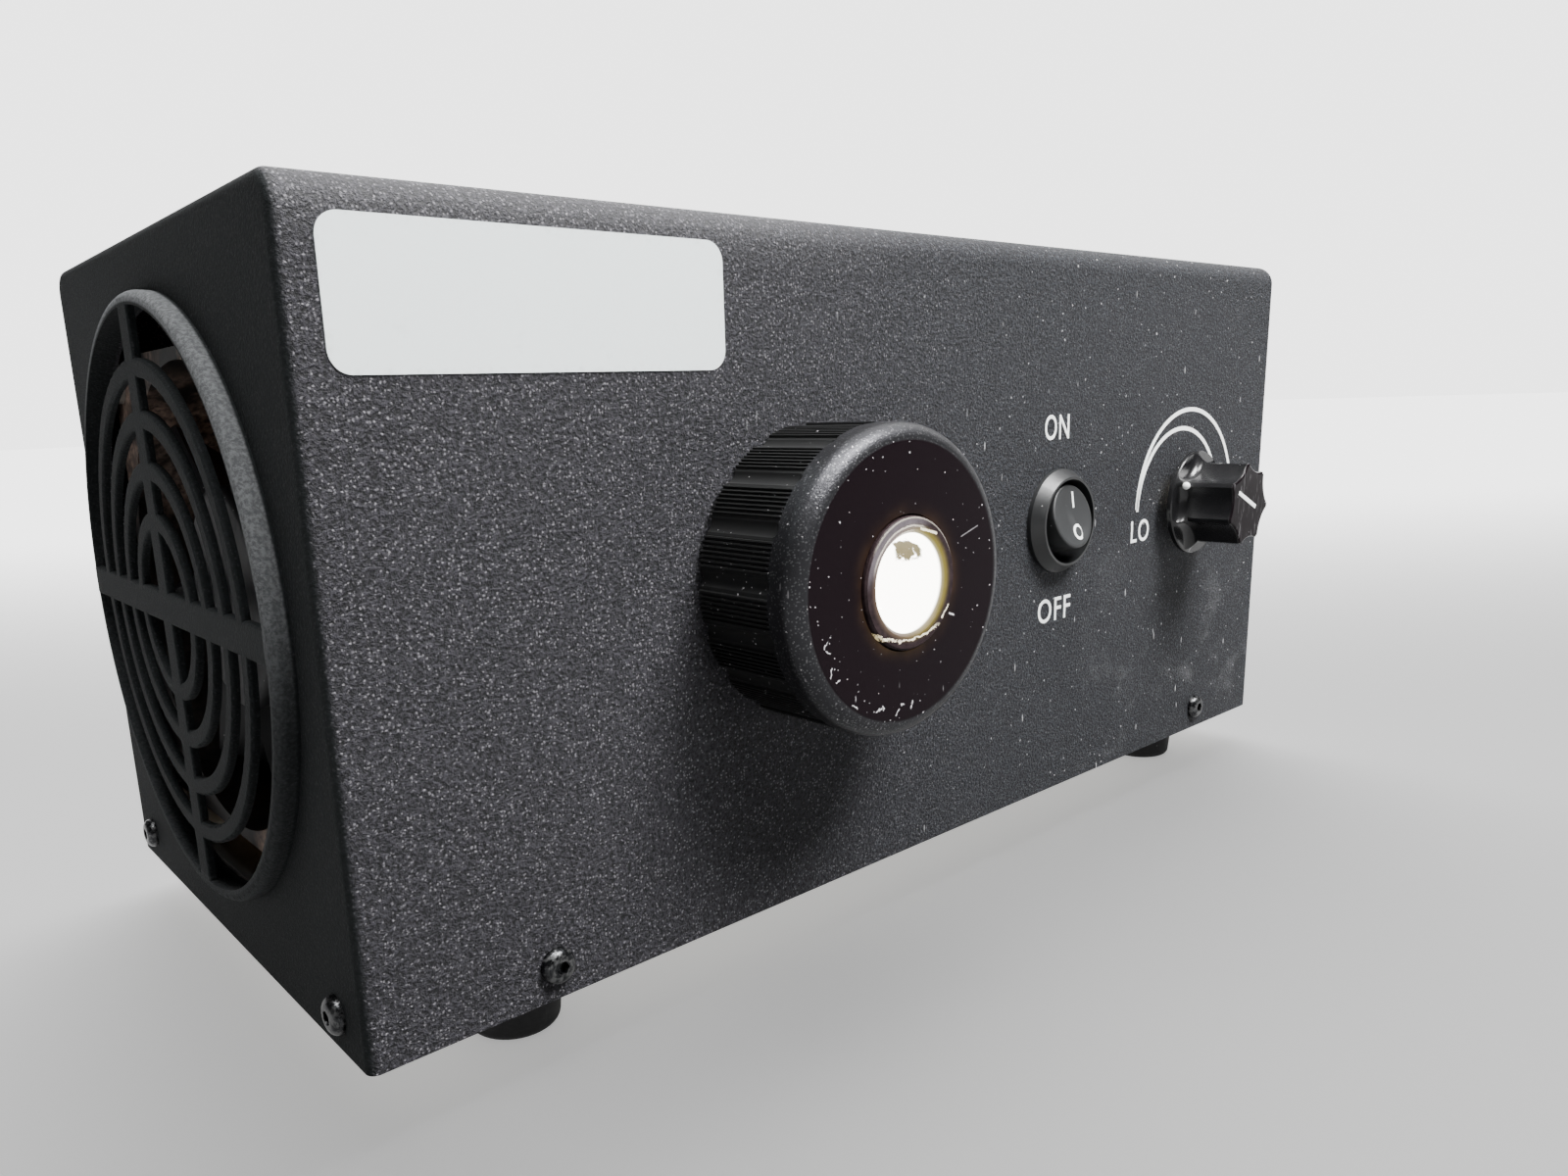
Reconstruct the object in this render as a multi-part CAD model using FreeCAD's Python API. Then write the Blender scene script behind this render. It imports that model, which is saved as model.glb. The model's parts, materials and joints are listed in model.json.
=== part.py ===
import FreeCAD, Part
import math
import os

# Fiber optic illuminator: a halogen lamp, fan, transformer and dimmer in a sheet steel case.
# Millimetres. +Z is up, the front panel faces -Y, and the origin lies on the bench, in the
# middle of the overall box.

V = FreeCAD.Vector

# ---------------------------------------------------------------- driving sizes: case
case_width = 251.0
case_depth = 114.0
case_height = 114.3
cover_sheet = 1.2
bend_radius = 4.5
corner_radius = 1.6
base_sheet = 1.5
base_recess = 0.5
base_flange = 12.0
bracket_sheet = 1.2
bracket_foot = 14.0
flange_relief = 1.0
label_width = 61.7
label_height = 18.6
label_thickness = 0.15
label_corner = 3.0
label_inset_x = 4.9
label_rise = 90.85

# ---------------------------------------------------------------- driving sizes: feet
foot_height = 10.0
foot_top_radius = 8.3
foot_bottom_radius = 7.3
foot_edge = 1.4
foot_inset_x = 29.6
foot_inset_y = 14.5
foot_pocket_radius = 3.8
foot_pocket_depth = 5.0

# ---------------------------------------------------------------- driving sizes: fasteners
m3_radius = 1.5
button_head_radius = 2.85
button_head_height = 1.65
hex_socket_across = 2.0
pan_head_radius = 2.8
pan_head_height = 1.6
m3_nut_across = 5.5
m3_nut_height = 2.4
cover_screw_rise = 5.5
cover_screw_inset_x = 29.6
cover_screw_inset_y = 9.6
socket_share = 0.6
button_round_share = 0.85
slot_width = 0.8
slot_share = 0.5
screw_past = 1.0
standoff_stud = 1.3

# ---------------------------------------------------------------- driving sizes: light guide clamp
guide_inset_x = 83.7
guide_rise = 57.8
knob_radius = 24.5
knob_length = 21.2
knob_gap = 0.4
knob_shoulder = 3.0
knob_face_wall = 3.0
knob_smooth_band = 5.6
knob_bore_relief = 0.8
nut_room = 1.0
nut_room_depth = 2.0
rib_height = 0.42
ribs_per_group = 7
rib_groups = 18
rib_pitch_deg = 1.75
rib_top_share = 0.3
rib_foot_share = 0.6
scallop_radius = 1.9
scallop_depth = 0.9
scallop_set_back = 1.14
scallop_start_deg = 15.4
guide_bore_radius = 7.8
collet_lip = 0.7
collet_lip_radius = 10.4
collet_mouth_bevel = 0.5
collet_lip_bevel = 0.3
collet_stop = 1.0
collet_taper = 8.0
collet_taper_land = 1.0
collet_finger_root = 4.0
collet_flange_radius = 14.2
collet_flange_thickness = 2.0
collet_barrel_radius = 12.0
collet_taper_radius = 10.4
collet_slot = 1.2
collet_slots = 4
thrust_washer_thickness = 0.6
clip_thickness = 0.9
clip_inner_radius = 13.2
clip_groove_depth = 1.2
clip_opening = 5.0
clip_to_nose = 0.65
nose_thread_radius = 17.0
nose_flange_radius = 21.0
nose_flange_thickness = 2.5
nose_nut_radius = 20.5
nose_nut_thickness = 4.0
nose_nut_notches = 4
nose_notch_width = 3.0
nose_notch_depth = 1.6
nose_taper_lead = 2.0
nose_rear_length = 16.0
heat_glass_radius = 13.0
heat_glass_thickness = 3.0
retainer_thickness = 1.6
retainer_bore_radius = 10.8

# ---------------------------------------------------------------- driving sizes: lamp
lamp_rim_radius = 25.3
lamp_rim_thickness = 2.2
lamp_rim_setback = 34.6
lamp_bowl_depth = 24.0
lamp_bowl_radius = 22.7
lamp_neck_radius = 9.4
lamp_glass = 1.8
capsule_radius = 5.2
capsule_length = 20.0
capsule_tip_share = 0.8
bowl_steps = 8
lamp_base_length = 14.0
lamp_base_edge = 1.0
lamp_pin_radius = 0.75
lamp_pin_spacing = 5.3
lamp_pin_length = 7.0
socket_width = 24.0
socket_height = 12.0
socket_depth = 13.0
socket_corner = 2.0
socket_screw_inset = 3.36
socket_screw_depth = 6.0
socket_screw_bite = 5.0
pin_gap = 0.1
lamp_window_radius = 23.0
holder_width = 56.0
holder_margin = 9.0
clip_strip = 0.5
clip_width = 8.0
clip_screw_offset = 5.0
clip_step = 1.6
clip_hold = 2.2
shield_offset = 31.0
shield_height = 80.0
shield_depth = 80.0
shield_foot = 11.0
shield_lead = 5.8
shield_screw_spread = 32.0
bracket_screw_inset = 7.84
cutout_radius = 7.0
cutout_depth = 7.0
cutout_flange_radius = 8.5
cutout_flange = 1.0
cutout_drop = 12.0
cutout_tab_length = 3.5
cutout_tab_width = 6.0
cutout_tab_thickness = 0.8
cutout_tab_spacing = 8.0

# ---------------------------------------------------------------- driving sizes: fan and guard
guard_radius = 45.9
guard_foot_radius = 48.0
guard_rise = 3.0
guard_edge = 0.45
guard_ring_outer = [15.1, 22.85, 30.6, 38.3]
guard_ring_width = 2.9
guard_spoke_width = 5.2
guard_rim_share = 0.7
guard_seam = 0.5
fan_rise = 57.6
fan_size = 80.0
fan_depth = 25.0
fan_gap = 2.2
fan_foot_inset = 4.0
fan_foot_length = 12.0
fan_screw_inset = 4.8
fan_screw_spread = 24.0
fan_bore_radius = 38.0
fan_flange = 4.0
fan_corner = 4.0
fan_hole_pitch = 71.5
fan_hole_radius = 2.2
fan_post_wall = 2.2
fan_duct_inset = 0.2
fan_hub_radius = 18.5
fan_hub_wall = 2.0
fan_hub_length = 17.5
fan_hub_edge = 1.5
fan_hub_inset = 3.0
fan_blades = 7
fan_blade_width = 19.0
fan_blade_thickness = 1.6
fan_blade_angle = 42.0
fan_tip_gap = 0.9
fan_blade_inset = 0.5
fan_shaft_radius = 1.5
fan_stator_radius = 14.0
fan_bearing_radius = 4.0
fan_bearing_inset = 1.0
fan_stator_wall = 3.0
fan_stator_gap = 1.5
fan_stator_lift = 0.5
fan_poles = 6
fan_pole_width = 5.2
fan_struts = 4
fan_strut_start_deg = 45.0
fan_shaft_inset = 0.4
fan_shaft_end = 1.0
fan_strut_width = 4.0
fan_plate_thickness = 3.0
m4_radius = 2.0
m4_head_radius = 3.6
m4_head_height = 1.5
m4_nut_across = 7.0
m4_nut_height = 3.0

# ---------------------------------------------------------------- driving sizes: power switch
switch_inset_x = 157.2
switch_rise = 59.2
bezel_radius = 10.8
bezel_height = 3.2
bezel_inner_radius = 8.7
switch_body_radius = 9.9
switch_body_depth = 20.0
rocker_radius = 6.7
rocker_angle = 14.0
rocker_pivot_depth = 1.0
rocker_rise = 4.0
rocker_dish_depth = 0.55
rocker_dish_rim = 0.7
rocker_pin_radius = 1.2
rocker_back = 5.0
rocker_back_bevel = 3.0
rocker_back_half = 3.0
rocker_edge = 0.4
rocker_pin_reach = 0.6
rocker_pin_gap = 0.3
rocker_well_gap = 5.0
bezel_rim = 0.5
bezel_foot = 0.9
snap_tab_width = 5.0
snap_tab_thickness = 1.6
snap_tab_length = 5.5
snap_tab_sink = 0.5
terminal_width = 4.8
terminal_thickness = 0.8
terminal_length = 9.0
terminal_pitch = 5.0
terminal_seat = 3.9
terminal_seat_gap = 0.1

# ---------------------------------------------------------------- driving sizes: dimmer
dimmer_margin_x = 41.0
dimmer_rise = 58.8
dimmer_skirt_radius = 12.0
dimmer_skirt_height = 0.9
dimmer_cone_height = 2.6
dimmer_body_radius = 9.3
dimmer_length = 13.4
dimmer_gap = 2.5
dimmer_flutes = 7
dimmer_flute_radius = 8.0
dimmer_flute_depth = 1.55
dimmer_flute_blend = 2.2
dimmer_edge = 0.5
dimmer_face_wall = 4.0
dimmer_cutter_lift = 0.2
dimmer_bushing_room = 0.8
dimmer_bushing_clear = 0.6
dimmer_pointer_deg = 149.0
shaft_radius = 3.0
bushing_radius = 4.7
bushing_length = 7.0
bushing_nut_across = 12.0
bushing_nut_height = 2.2
pot_radius = 12.0
pot_depth = 10.0
pot_rear_wall = 2.0
pot_tab_width = 2.4
pot_tab_thickness = 0.8
pot_tab_length = 7.0
pot_tab_setback = 3.0
pot_tab_pitch = 5.0
pot_shaft_gap = 1.0
set_screw_radius = 1.5
set_screw_inset = 5.8
set_screw_sink = 1.2

# ---------------------------------------------------------------- driving sizes: transformer
transformer_board_gap = 4.0
transformer_inset_y = 68.0
core_width = 78.0
core_height = 65.0
core_stack = 35.0
core_leg = 13.0
coil_overhang = 12.0
core_foot = 12.0
core_bracket_drop = 1.0
coil_corner = 4.0
core_screw_inset = 10.92
core_screw_offset = 6.6
rivet_radius = 2.0
rivet_head_radius = 3.4
rivet_head_height = 1.4
rivet_inset = 6.5

# ---------------------------------------------------------------- driving sizes: dimmer board
board_wall_gap = 2.8
board_inset_y = 62.0
board_width = 36.0
board_depth = 62.0
board_thickness = 1.6
board_corner_inset = 4.0
board_screw_bite = 4.0
standoff_tap = 5.0
standoff_height = 8.0
standoff_radius = 3.0
sink_width = 28.0
sink_height = 26.0
sink_depth = 12.0
sink_fins = 5
sink_base = 3.0
sink_fin = 1.6
sink_setback = 11.0
triac_width = 10.0
triac_thickness = 4.5
triac_height = 15.0
triac_rise = 6.0
choke_radius = 9.0
choke_tube = 3.4
choke_offset = -2.0
capacitor_width = 18.0
capacitor_depth = 8.0
capacitor_height = 15.0
capacitor_corner = 1.0
capacitor_offset_x = -2.0
capacitor_offset_y = -14.5
terminal_block_width = 16.0
terminal_block_depth = 9.0
terminal_block_height = 11.0
terminal_block_ways = 5
terminal_block_inset = 0.5
terminal_well_depth = 4.0
terminal_well_share = 0.36

# ---------------------------------------------------------------- driving sizes: mains inlet
inlet_margin_x = 33.0
inlet_rise = 72.0
inlet_flange_width = 50.0
inlet_flange_height = 36.0
inlet_flange = 3.0
inlet_corner = 2.0
inlet_body_width = 27.5
inlet_body_height = 32.0
inlet_body_depth = 24.0
inlet_screw_pitch = 40.0
plug_width = 24.4
plug_height = 16.6
plug_depth = 18.0
plug_setback = 7.0
plug_corner = 1.0
plug_wall = 1.6
blade_width = 4.0
blade_thickness = 2.0
blade_spacing = 7.0
earth_offset = 2.0
blade_tail = 7.0
inlet_screw_past = 3.0
inlet_slot_width = 0.7
drawer_width = 22.0
drawer_height = 8.4
drawer_depth = 21.0
drawer_lip = 1.5
drawer_wall = 1.0
drawer_face_wall = 1.5
drawer_corner = 0.8
drawer_margin = 1.4
notch_radius = 1.2
notch_length = 10.0
notch_lift = 0.4
fuse_radius = 2.5
fuse_length = 17.0
fuse_rest = 0.1
fuse_spread = 1.6

# ---------------------------------------------------------------- driving sizes: vents
vent_rows = 9
vent_columns = 2
vent_length = 36.0
vent_height = 3.2
vent_pitch = 7.5
vent_column_pitch = 46.0
vent_rise = 27.0
floor_vents = 6
floor_vent_pitch = 8.0
floor_vent_length = 40.0

# ---------------------------------------------------------------- driving sizes: wiring
lead_radius = 1.1
lead_bend = 6.0
lead_small_bend = 3.0
lead_height = 100.0
lead_run = 8.0
lamp_lead_spread = 4.8

# ---------------------------------------------------------------- clearances
plate_gap = 0.15
hole_gap = 0.2
thread_gap = 0.05
running_gap = 0.06
free_gap = 0.3
seat_gap = 0.02
past = 1.0

# ---------------------------------------------------------------- places worked out from the sizes
left_reach = guard_rise
right_reach = button_head_height
front_reach = knob_gap + knob_length + collet_lip
rear_reach = inlet_flange + drawer_lip
left = left_reach - (case_width + left_reach + right_reach) / 2
right = left + case_width
front = front_reach - (case_depth + front_reach + rear_reach) / 2
rear = front + case_depth
skirt = foot_height - base_recess
top = skirt + case_height
left_in = left + cover_sheet
right_in = right - cover_sheet
front_in = front + cover_sheet
rear_in = rear - cover_sheet
plate_bottom = foot_height
plate_top = plate_bottom + base_sheet

guide_x = left + guide_inset_x
guide_z = skirt + guide_rise
fan_y = (front + rear) / 2
fan_z = skirt + fan_rise
switch_x = left + switch_inset_x
switch_z = skirt + switch_rise
dimmer_x = right - dimmer_margin_x
dimmer_z = skirt + dimmer_rise
inlet_x = right - inlet_margin_x
inlet_z = skirt + inlet_rise
board_x = right_in - board_wall_gap - board_width / 2
transformer_x = board_x - board_width / 2 - transformer_board_gap - core_width / 2
transformer_y = front + transformer_inset_y
board_y = front + board_inset_y


# ---------------------------------------------------------------- solid helpers
def box(x0, x1, y0, y1, z0, z1):
    return Part.makeBox(x1 - x0, y1 - y0, z1 - z0, V(x0, y0, z0))


def rod_x(y, z, radius, x0, x1):
    return Part.makeCylinder(radius, x1 - x0, V(x0, y, z), V(1, 0, 0))


def rod_y(x, z, radius, y0, y1):
    return Part.makeCylinder(radius, y1 - y0, V(x, y0, z), V(0, 1, 0))


def rod_z(x, y, radius, z0, z1):
    return Part.makeCylinder(radius, z1 - z0, V(x, y, z0), V(0, 0, 1))


def ring_x(y, z, inner, outer, x0, x1):
    return rod_x(y, z, outer, x0, x1).cut(rod_x(y, z, inner, x0 - past, x1 + past))


def ring_y(x, z, inner, outer, y0, y1):
    return rod_y(x, z, outer, y0, y1).cut(rod_y(x, z, inner, y0 - past, y1 + past))


def turned_y(x, z, profile):
    """Turn a closed outline of (radius, y) points about the line along Y through x, z."""
    points = [V(x + radius, y, z) for radius, y in profile]
    face = Part.Face(Part.makePolygon(points + points[:1]))
    return face.revolve(V(x, 0, z), V(0, 1, 0), 360)


def hex_prism(across, centre, direction, length):
    """A hexagonal prism of the given width across flats, standing on centre."""
    corner = across / math.sqrt(3)
    points = [V(corner * math.cos(math.radians(60 * i)), corner * math.sin(math.radians(60 * i)), 0)
              for i in range(7)]
    prism = Part.Face(Part.makePolygon(points)).extrude(V(0, 0, length))
    prism.Placement = FreeCAD.Placement(centre, FreeCAD.Rotation(V(0, 0, 1), direction))
    return prism


def rounded_box(x0, x1, y0, y1, z0, z1, radius, axis):
    """A box whose four edges along one axis, 0 for X to 2 for Z, are rounded."""
    block = box(x0, x1, y0, y1, z0, z1)
    along = [edge for edge in block.Edges if abs(edge.tangentAt(edge.FirstParameter)[axis]) > 0.99]
    return block.makeFillet(radius, along)


def round_edges(shape, radius, chosen):
    return shape.makeFillet(radius, [edge for edge in shape.Edges if chosen(edge.CenterOfMass)])


def near(a, b):
    return abs(a - b) < 1e-4


def turned(shape, degrees, centre, axis):
    copy = shape.copy()
    copy.rotate(centre, axis, degrees)
    return copy


def slot_x(x, y, z, length, height, x1):
    """A slot through an X wall, long along Y, with round ends."""
    half = (length - height) / 2
    middle = box(x, x1, y - half, y + half, z - height / 2, z + height / 2)
    ends = [rod_x(y + side * half, z, height / 2, x, x1) for side in (-1, 1)]
    return middle.multiFuse(ends)


def slot_z(x, y, width, length, z0, z1):
    """A slot through the floor, long along Y, with round ends."""
    half = (length - width) / 2
    middle = box(x - width / 2, x + width / 2, y - half, y + half, z0, z1)
    ends = [rod_z(x, y + side * half, width / 2, z0, z1) for side in (-1, 1)]
    return middle.multiFuse(ends)


# ---------------------------------------------------------------- fasteners
def button_screw(seat, outward, shank):
    """A button head screw with a hexagon socket; seat is under the head's middle."""
    head = Part.makeCylinder(button_head_radius, button_head_height, V(0, 0, 0), V(0, 0, 1))
    head = round_edges(head, button_head_height * button_round_share,
                       lambda c: near(c.z, button_head_height))
    depth = button_head_height * socket_share
    head = head.cut(hex_prism(hex_socket_across, V(0, 0, button_head_height - depth),
                              V(0, 0, 1), depth + past))
    screw = head.fuse(Part.makeCylinder(m3_radius, shank, V(0, 0, -shank), V(0, 0, 1)))
    screw.Placement = FreeCAD.Placement(seat, FreeCAD.Rotation(V(0, 0, 1), outward))
    return screw


def pan_screw(seat, outward, shank, radius=m3_radius, head_radius=pan_head_radius,
              head_height=pan_head_height):
    """A slotted pan head screw; seat is under the head's middle."""
    head = Part.makeCylinder(head_radius, head_height, V(0, 0, 0), V(0, 0, 1))
    head = round_edges(head, head_height * slot_share, lambda c: near(c.z, head_height))
    slot = box(-head_radius - past, head_radius + past, -slot_width / 2, slot_width / 2,
               head_height * (1 - slot_share), head_height + past)
    screw = head.cut(slot).fuse(Part.makeCylinder(radius, shank, V(0, 0, -shank), V(0, 0, 1)))
    screw.Placement = FreeCAD.Placement(seat, FreeCAD.Rotation(V(0, 0, 1), outward))
    return screw


def hex_nut(seat, outward, across, height, hole_radius):
    nut = hex_prism(across, V(0, 0, 0), V(0, 0, 1), height)
    nut = nut.cut(Part.makeCylinder(hole_radius, height + 2, V(0, 0, -1), V(0, 0, 1)))
    nut.Placement = FreeCAD.Placement(seat, FreeCAD.Rotation(V(0, 0, 1), outward))
    return nut


def front_screw_places():
    return [(left + cover_screw_inset_x, skirt + cover_screw_rise),
            (right - cover_screw_inset_x, skirt + cover_screw_rise)]


def side_screw_places():
    return [(front + cover_screw_inset_y, skirt + cover_screw_rise),
            (rear - cover_screw_inset_y, skirt + cover_screw_rise)]


def foot_places():
    return [(x, y) for x in (left + foot_inset_x, right - foot_inset_x)
            for y in (front + foot_inset_y, rear - foot_inset_y)]


def cover_screws():
    shank = cover_sheet + plate_gap + base_sheet + screw_past
    screws = []
    for x, z in front_screw_places():
        screws.append(button_screw(V(x, front, z), V(0, -1, 0), shank))
        screws.append(button_screw(V(x, rear, z), V(0, 1, 0), shank))
    for y, z in side_screw_places():
        screws.append(button_screw(V(left, y, z), V(-1, 0, 0), shank))
        screws.append(button_screw(V(right, y, z), V(1, 0, 0), shank))
    return screws


# ---------------------------------------------------------------- places of the inner brackets
holder_front = front + lamp_rim_setback - bracket_sheet - seat_gap
lamp_rear = front + lamp_rim_setback + lamp_bowl_depth + lamp_base_length
socket_front = lamp_rear + free_gap
socket_rear = socket_front + socket_depth
socket_plate_front = socket_rear + seat_gap
shield_x = guide_x + shield_offset
shield_front = fan_y - shield_lead - shield_depth / 2
fan_left = left_in + fan_gap
fan_right = fan_left + fan_depth
fan_plate_left = fan_right + seat_gap
core_bottom = plate_top + seat_gap
board_bottom = plate_top + seat_gap + standoff_height


def bracket_screw_places():
    foot_middle = bracket_foot / 2
    places = []
    for side in (-1, 1):
        across = side * (holder_width / 2 - bracket_screw_inset)
        places.append((guide_x + across, holder_front - foot_middle))
        places.append((guide_x + across, socket_plate_front + bracket_sheet + foot_middle))
        places.append((shield_x + bracket_sheet + shield_foot / 2,
                       shield_front + shield_depth / 2 + side * shield_screw_spread))
        places.append((fan_plate_left + bracket_sheet + fan_foot_length - fan_screw_inset,
                       fan_y + side * fan_screw_spread))
        for end in (-1, 1):
            places.append((transformer_x + side * (core_width / 2 - core_screw_inset),
                           transformer_y + end * (core_stack / 2 + bracket_sheet + core_screw_offset)))
    return places


def bracket_screws():
    grip = bracket_sheet + 2 * seat_gap
    return [pan_screw(V(x, y, plate_top + grip), V(0, 0, 1), grip + base_sheet)
            for x, y in bracket_screw_places()]


def bracket_holes(shape):
    """Clearance holes through the foot of a bracket."""
    drills = [rod_z(x, y, m3_radius + hole_gap, plate_top, plate_top + 2 * bracket_sheet)
              for x, y in bracket_screw_places()]
    return shape.cut(Part.makeCompound(drills))


# ---------------------------------------------------------------- case
def case_block(inset, bottom):
    """The rounded block of the case, set in all round by inset and open downwards."""
    block = box(left + inset, right - inset, front + inset, rear - inset, bottom, top - inset)
    block = round_edges(block, bend_radius - inset,
                        lambda c: near(c.z, top - inset) and
                        (near(c.y, front + inset) or near(c.y, rear - inset)))
    return round_edges(block, corner_radius - inset,
                       lambda c: (near(c.x, left + inset) or near(c.x, right - inset)) and
                       c.z > bottom + past)


def fan_guard():
    """The drawn rim on the left wall with its concentric rings and crossed spokes."""
    outside = left - guard_rise
    inside = outside + cover_sheet
    rim = ring_x(fan_y, fan_z, guard_radius, guard_foot_radius, outside, left_in)
    rim_edges = [edge for edge in rim.Edges if near(edge.CenterOfMass.x, outside)
                 and edge.Length > math.pi * (guard_radius + guard_foot_radius)]
    rim = rim.makeFillet((guard_foot_radius - guard_radius) * guard_rim_share, rim_edges)
    bars = []
    for outer in guard_ring_outer:
        ring = ring_x(fan_y, fan_z, outer - guard_ring_width, outer, outside, inside)
        bars.append(round_edges(ring, guard_edge, lambda c: near(c.x, outside)))
    half = guard_spoke_width / 2
    reach = (guard_radius + guard_foot_radius) / 2
    for spoke in (box(outside, inside, fan_y - reach, fan_y + reach, fan_z - half, fan_z + half),
                  box(outside, inside, fan_y - half, fan_y + half, fan_z - reach, fan_z + reach)):
        long_edges = [edge for edge in spoke.Edges if edge.Length > reach
                      and near(edge.CenterOfMass.x, outside)]
        bars.append(spoke.makeFillet(guard_edge, long_edges))
    return rim.multiFuse(bars)


def inlet_cutout(gap, y0, y1):
    half_width = inlet_body_width / 2 + gap
    half_height = inlet_body_height / 2 + gap
    return box(inlet_x - half_width, inlet_x + half_width, y0, y1,
               inlet_z - half_height, inlet_z + half_height)


def cover():
    shell = case_block(0, skirt).cut(case_block(cover_sheet, skirt - past))
    cuts = [rod_x(fan_y, fan_z, guard_radius + guard_seam, left - past, left_in + past),
            rod_y(guide_x, guide_z, nose_thread_radius + hole_gap, front - past, front_in + past),
            rod_y(switch_x, switch_z, switch_body_radius + hole_gap, front - past, front_in + past),
            rod_y(dimmer_x, dimmer_z, bushing_radius + hole_gap, front - past, front_in + past),
            inlet_cutout(hole_gap, rear_in - past, rear + past)]
    for side in (-1, 1):
        cuts.append(rod_y(inlet_x + side * inlet_screw_pitch / 2, inlet_z, m3_radius + thread_gap,
                          rear_in - past, rear + past))
    for x, z in front_screw_places():
        cuts.append(rod_y(x, z, m3_radius + hole_gap, front - past, front_in + past))
        cuts.append(rod_y(x, z, m3_radius + hole_gap, rear_in - past, rear + past))
    for y, z in side_screw_places():
        cuts.append(rod_x(y, z, m3_radius + hole_gap, left - past, left_in + past))
        cuts.append(rod_x(y, z, m3_radius + hole_gap, right_in - past, right + past))
    for column in range(vent_columns):
        y = fan_y + (column - (vent_columns - 1) / 2) * vent_column_pitch
        for row in range(vent_rows):
            cuts.append(slot_x(right_in - past, y, skirt + vent_rise + row * vent_pitch,
                               vent_length, vent_height, right + past))
    return shell.cut(Part.makeCompound(cuts)).fuse(fan_guard()).removeSplitter()


def front_label():
    x0 = left + label_inset_x
    z0 = skirt + label_rise
    return rounded_box(x0, x0 + label_width, front - label_thickness, front,
                       z0, z0 + label_height, label_corner, 1)


def base_plate():
    x0 = left_in + plate_gap
    x1 = right_in - plate_gap
    y0 = front_in + plate_gap
    y1 = rear_in - plate_gap
    tray = box(x0, x1, y0, y1, plate_bottom, plate_bottom + base_flange)
    tray = tray.cut(box(x0 + base_sheet, x1 - base_sheet, y0 + base_sheet, y1 - base_sheet,
                        plate_top, plate_bottom + base_flange + past))
    relief = base_sheet + flange_relief
    cuts = [box(x, x + relief, y, y + relief, plate_top, plate_bottom + base_flange + past)
            for x in (x0, x1 - relief) for y in (y0, y1 - relief)]
    tapped = m3_radius + thread_gap
    for x, z in front_screw_places():
        cuts.append(rod_y(x, z, tapped, y0 - past, y0 + base_sheet + past))
        cuts.append(rod_y(x, z, tapped, y1 - base_sheet - past, y1 + past))
    for y, z in side_screw_places():
        cuts.append(rod_x(y, z, tapped, x0 - past, x0 + base_sheet + past))
        cuts.append(rod_x(y, z, tapped, x1 - base_sheet - past, x1 + past))
    for x, y in foot_places():
        cuts.append(rod_z(x, y, m3_radius + hole_gap, plate_bottom - past, plate_top + past))
    for x, y in bracket_screw_places() + board_corners():
        cuts.append(rod_z(x, y, tapped, plate_bottom - past, plate_top + past))
    for row in range(floor_vents):
        x = guide_x + (row - (floor_vents - 1) / 2) * floor_vent_pitch
        cuts.append(slot_z(x, front + lamp_rim_setback + lamp_bowl_depth, vent_height,
                           floor_vent_length, plate_bottom - past, plate_top + past))
    return tray.cut(Part.makeCompound(cuts))


def rubber_feet():
    feet = []
    for x, y in foot_places():
        foot = Part.makeCone(foot_bottom_radius, foot_top_radius, foot_height, V(x, y, 0), V(0, 0, 1))
        foot = round_edges(foot, foot_edge, lambda c: near(c.z, 0))
        foot = foot.cut(rod_z(x, y, foot_pocket_radius, -1, foot_pocket_depth))
        feet.append(foot.cut(rod_z(x, y, m3_radius + hole_gap, 0, foot_height + past)))
    return feet


def foot_screws():
    shank = foot_height - foot_pocket_depth + base_sheet + m3_nut_height + screw_past
    return [pan_screw(V(x, y, foot_pocket_depth), V(0, 0, -1), shank) for x, y in foot_places()]


def foot_nuts():
    return [hex_nut(V(x, y, plate_top), V(0, 0, 1), m3_nut_across, m3_nut_height,
                    m3_radius + thread_gap) for x, y in foot_places()]


# ---------------------------------------------------------------- light guide clamp
knob_face = front - knob_gap - knob_length
washer_front = knob_face + knob_face_wall + plate_gap
collet_flange_front = washer_front + thrust_washer_thickness + seat_gap
collet_flange_rear = collet_flange_front + collet_flange_thickness
clip_front = collet_flange_rear + free_gap
clip_rear = clip_front + clip_thickness
nose_front = clip_rear + clip_to_nose
knob_cavity_radius = collet_flange_radius + knob_bore_relief
counterbore_front = front - nose_nut_thickness - nut_room_depth
collet_rear = front - collet_stop
taper_front = front - collet_taper
nose_rear = front_in + nose_rear_length


def nose_tube():
    """The threaded nose: a flange inside the panel, a guide bore, a taper and a glass seat."""
    guide = collet_barrel_radius + running_gap
    small = collet_taper_radius + running_gap
    glass_seat = nose_rear - heat_glass_thickness - retainer_thickness - seat_gap
    outline = [(guide, nose_front), (nose_thread_radius, nose_front),
               (nose_thread_radius, front_in),
               (nose_flange_radius, front_in),
               (nose_flange_radius, front_in + nose_flange_thickness),
               (nose_thread_radius, front_in + nose_flange_thickness),
               (nose_thread_radius, nose_rear),
               (heat_glass_radius + hole_gap, nose_rear),
               (heat_glass_radius + hole_gap, glass_seat),
               (small, glass_seat), (small, collet_rear - nose_taper_lead),
               (guide, taper_front + collet_taper_land)]
    return turned_y(guide_x, guide_z, outline)


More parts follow.
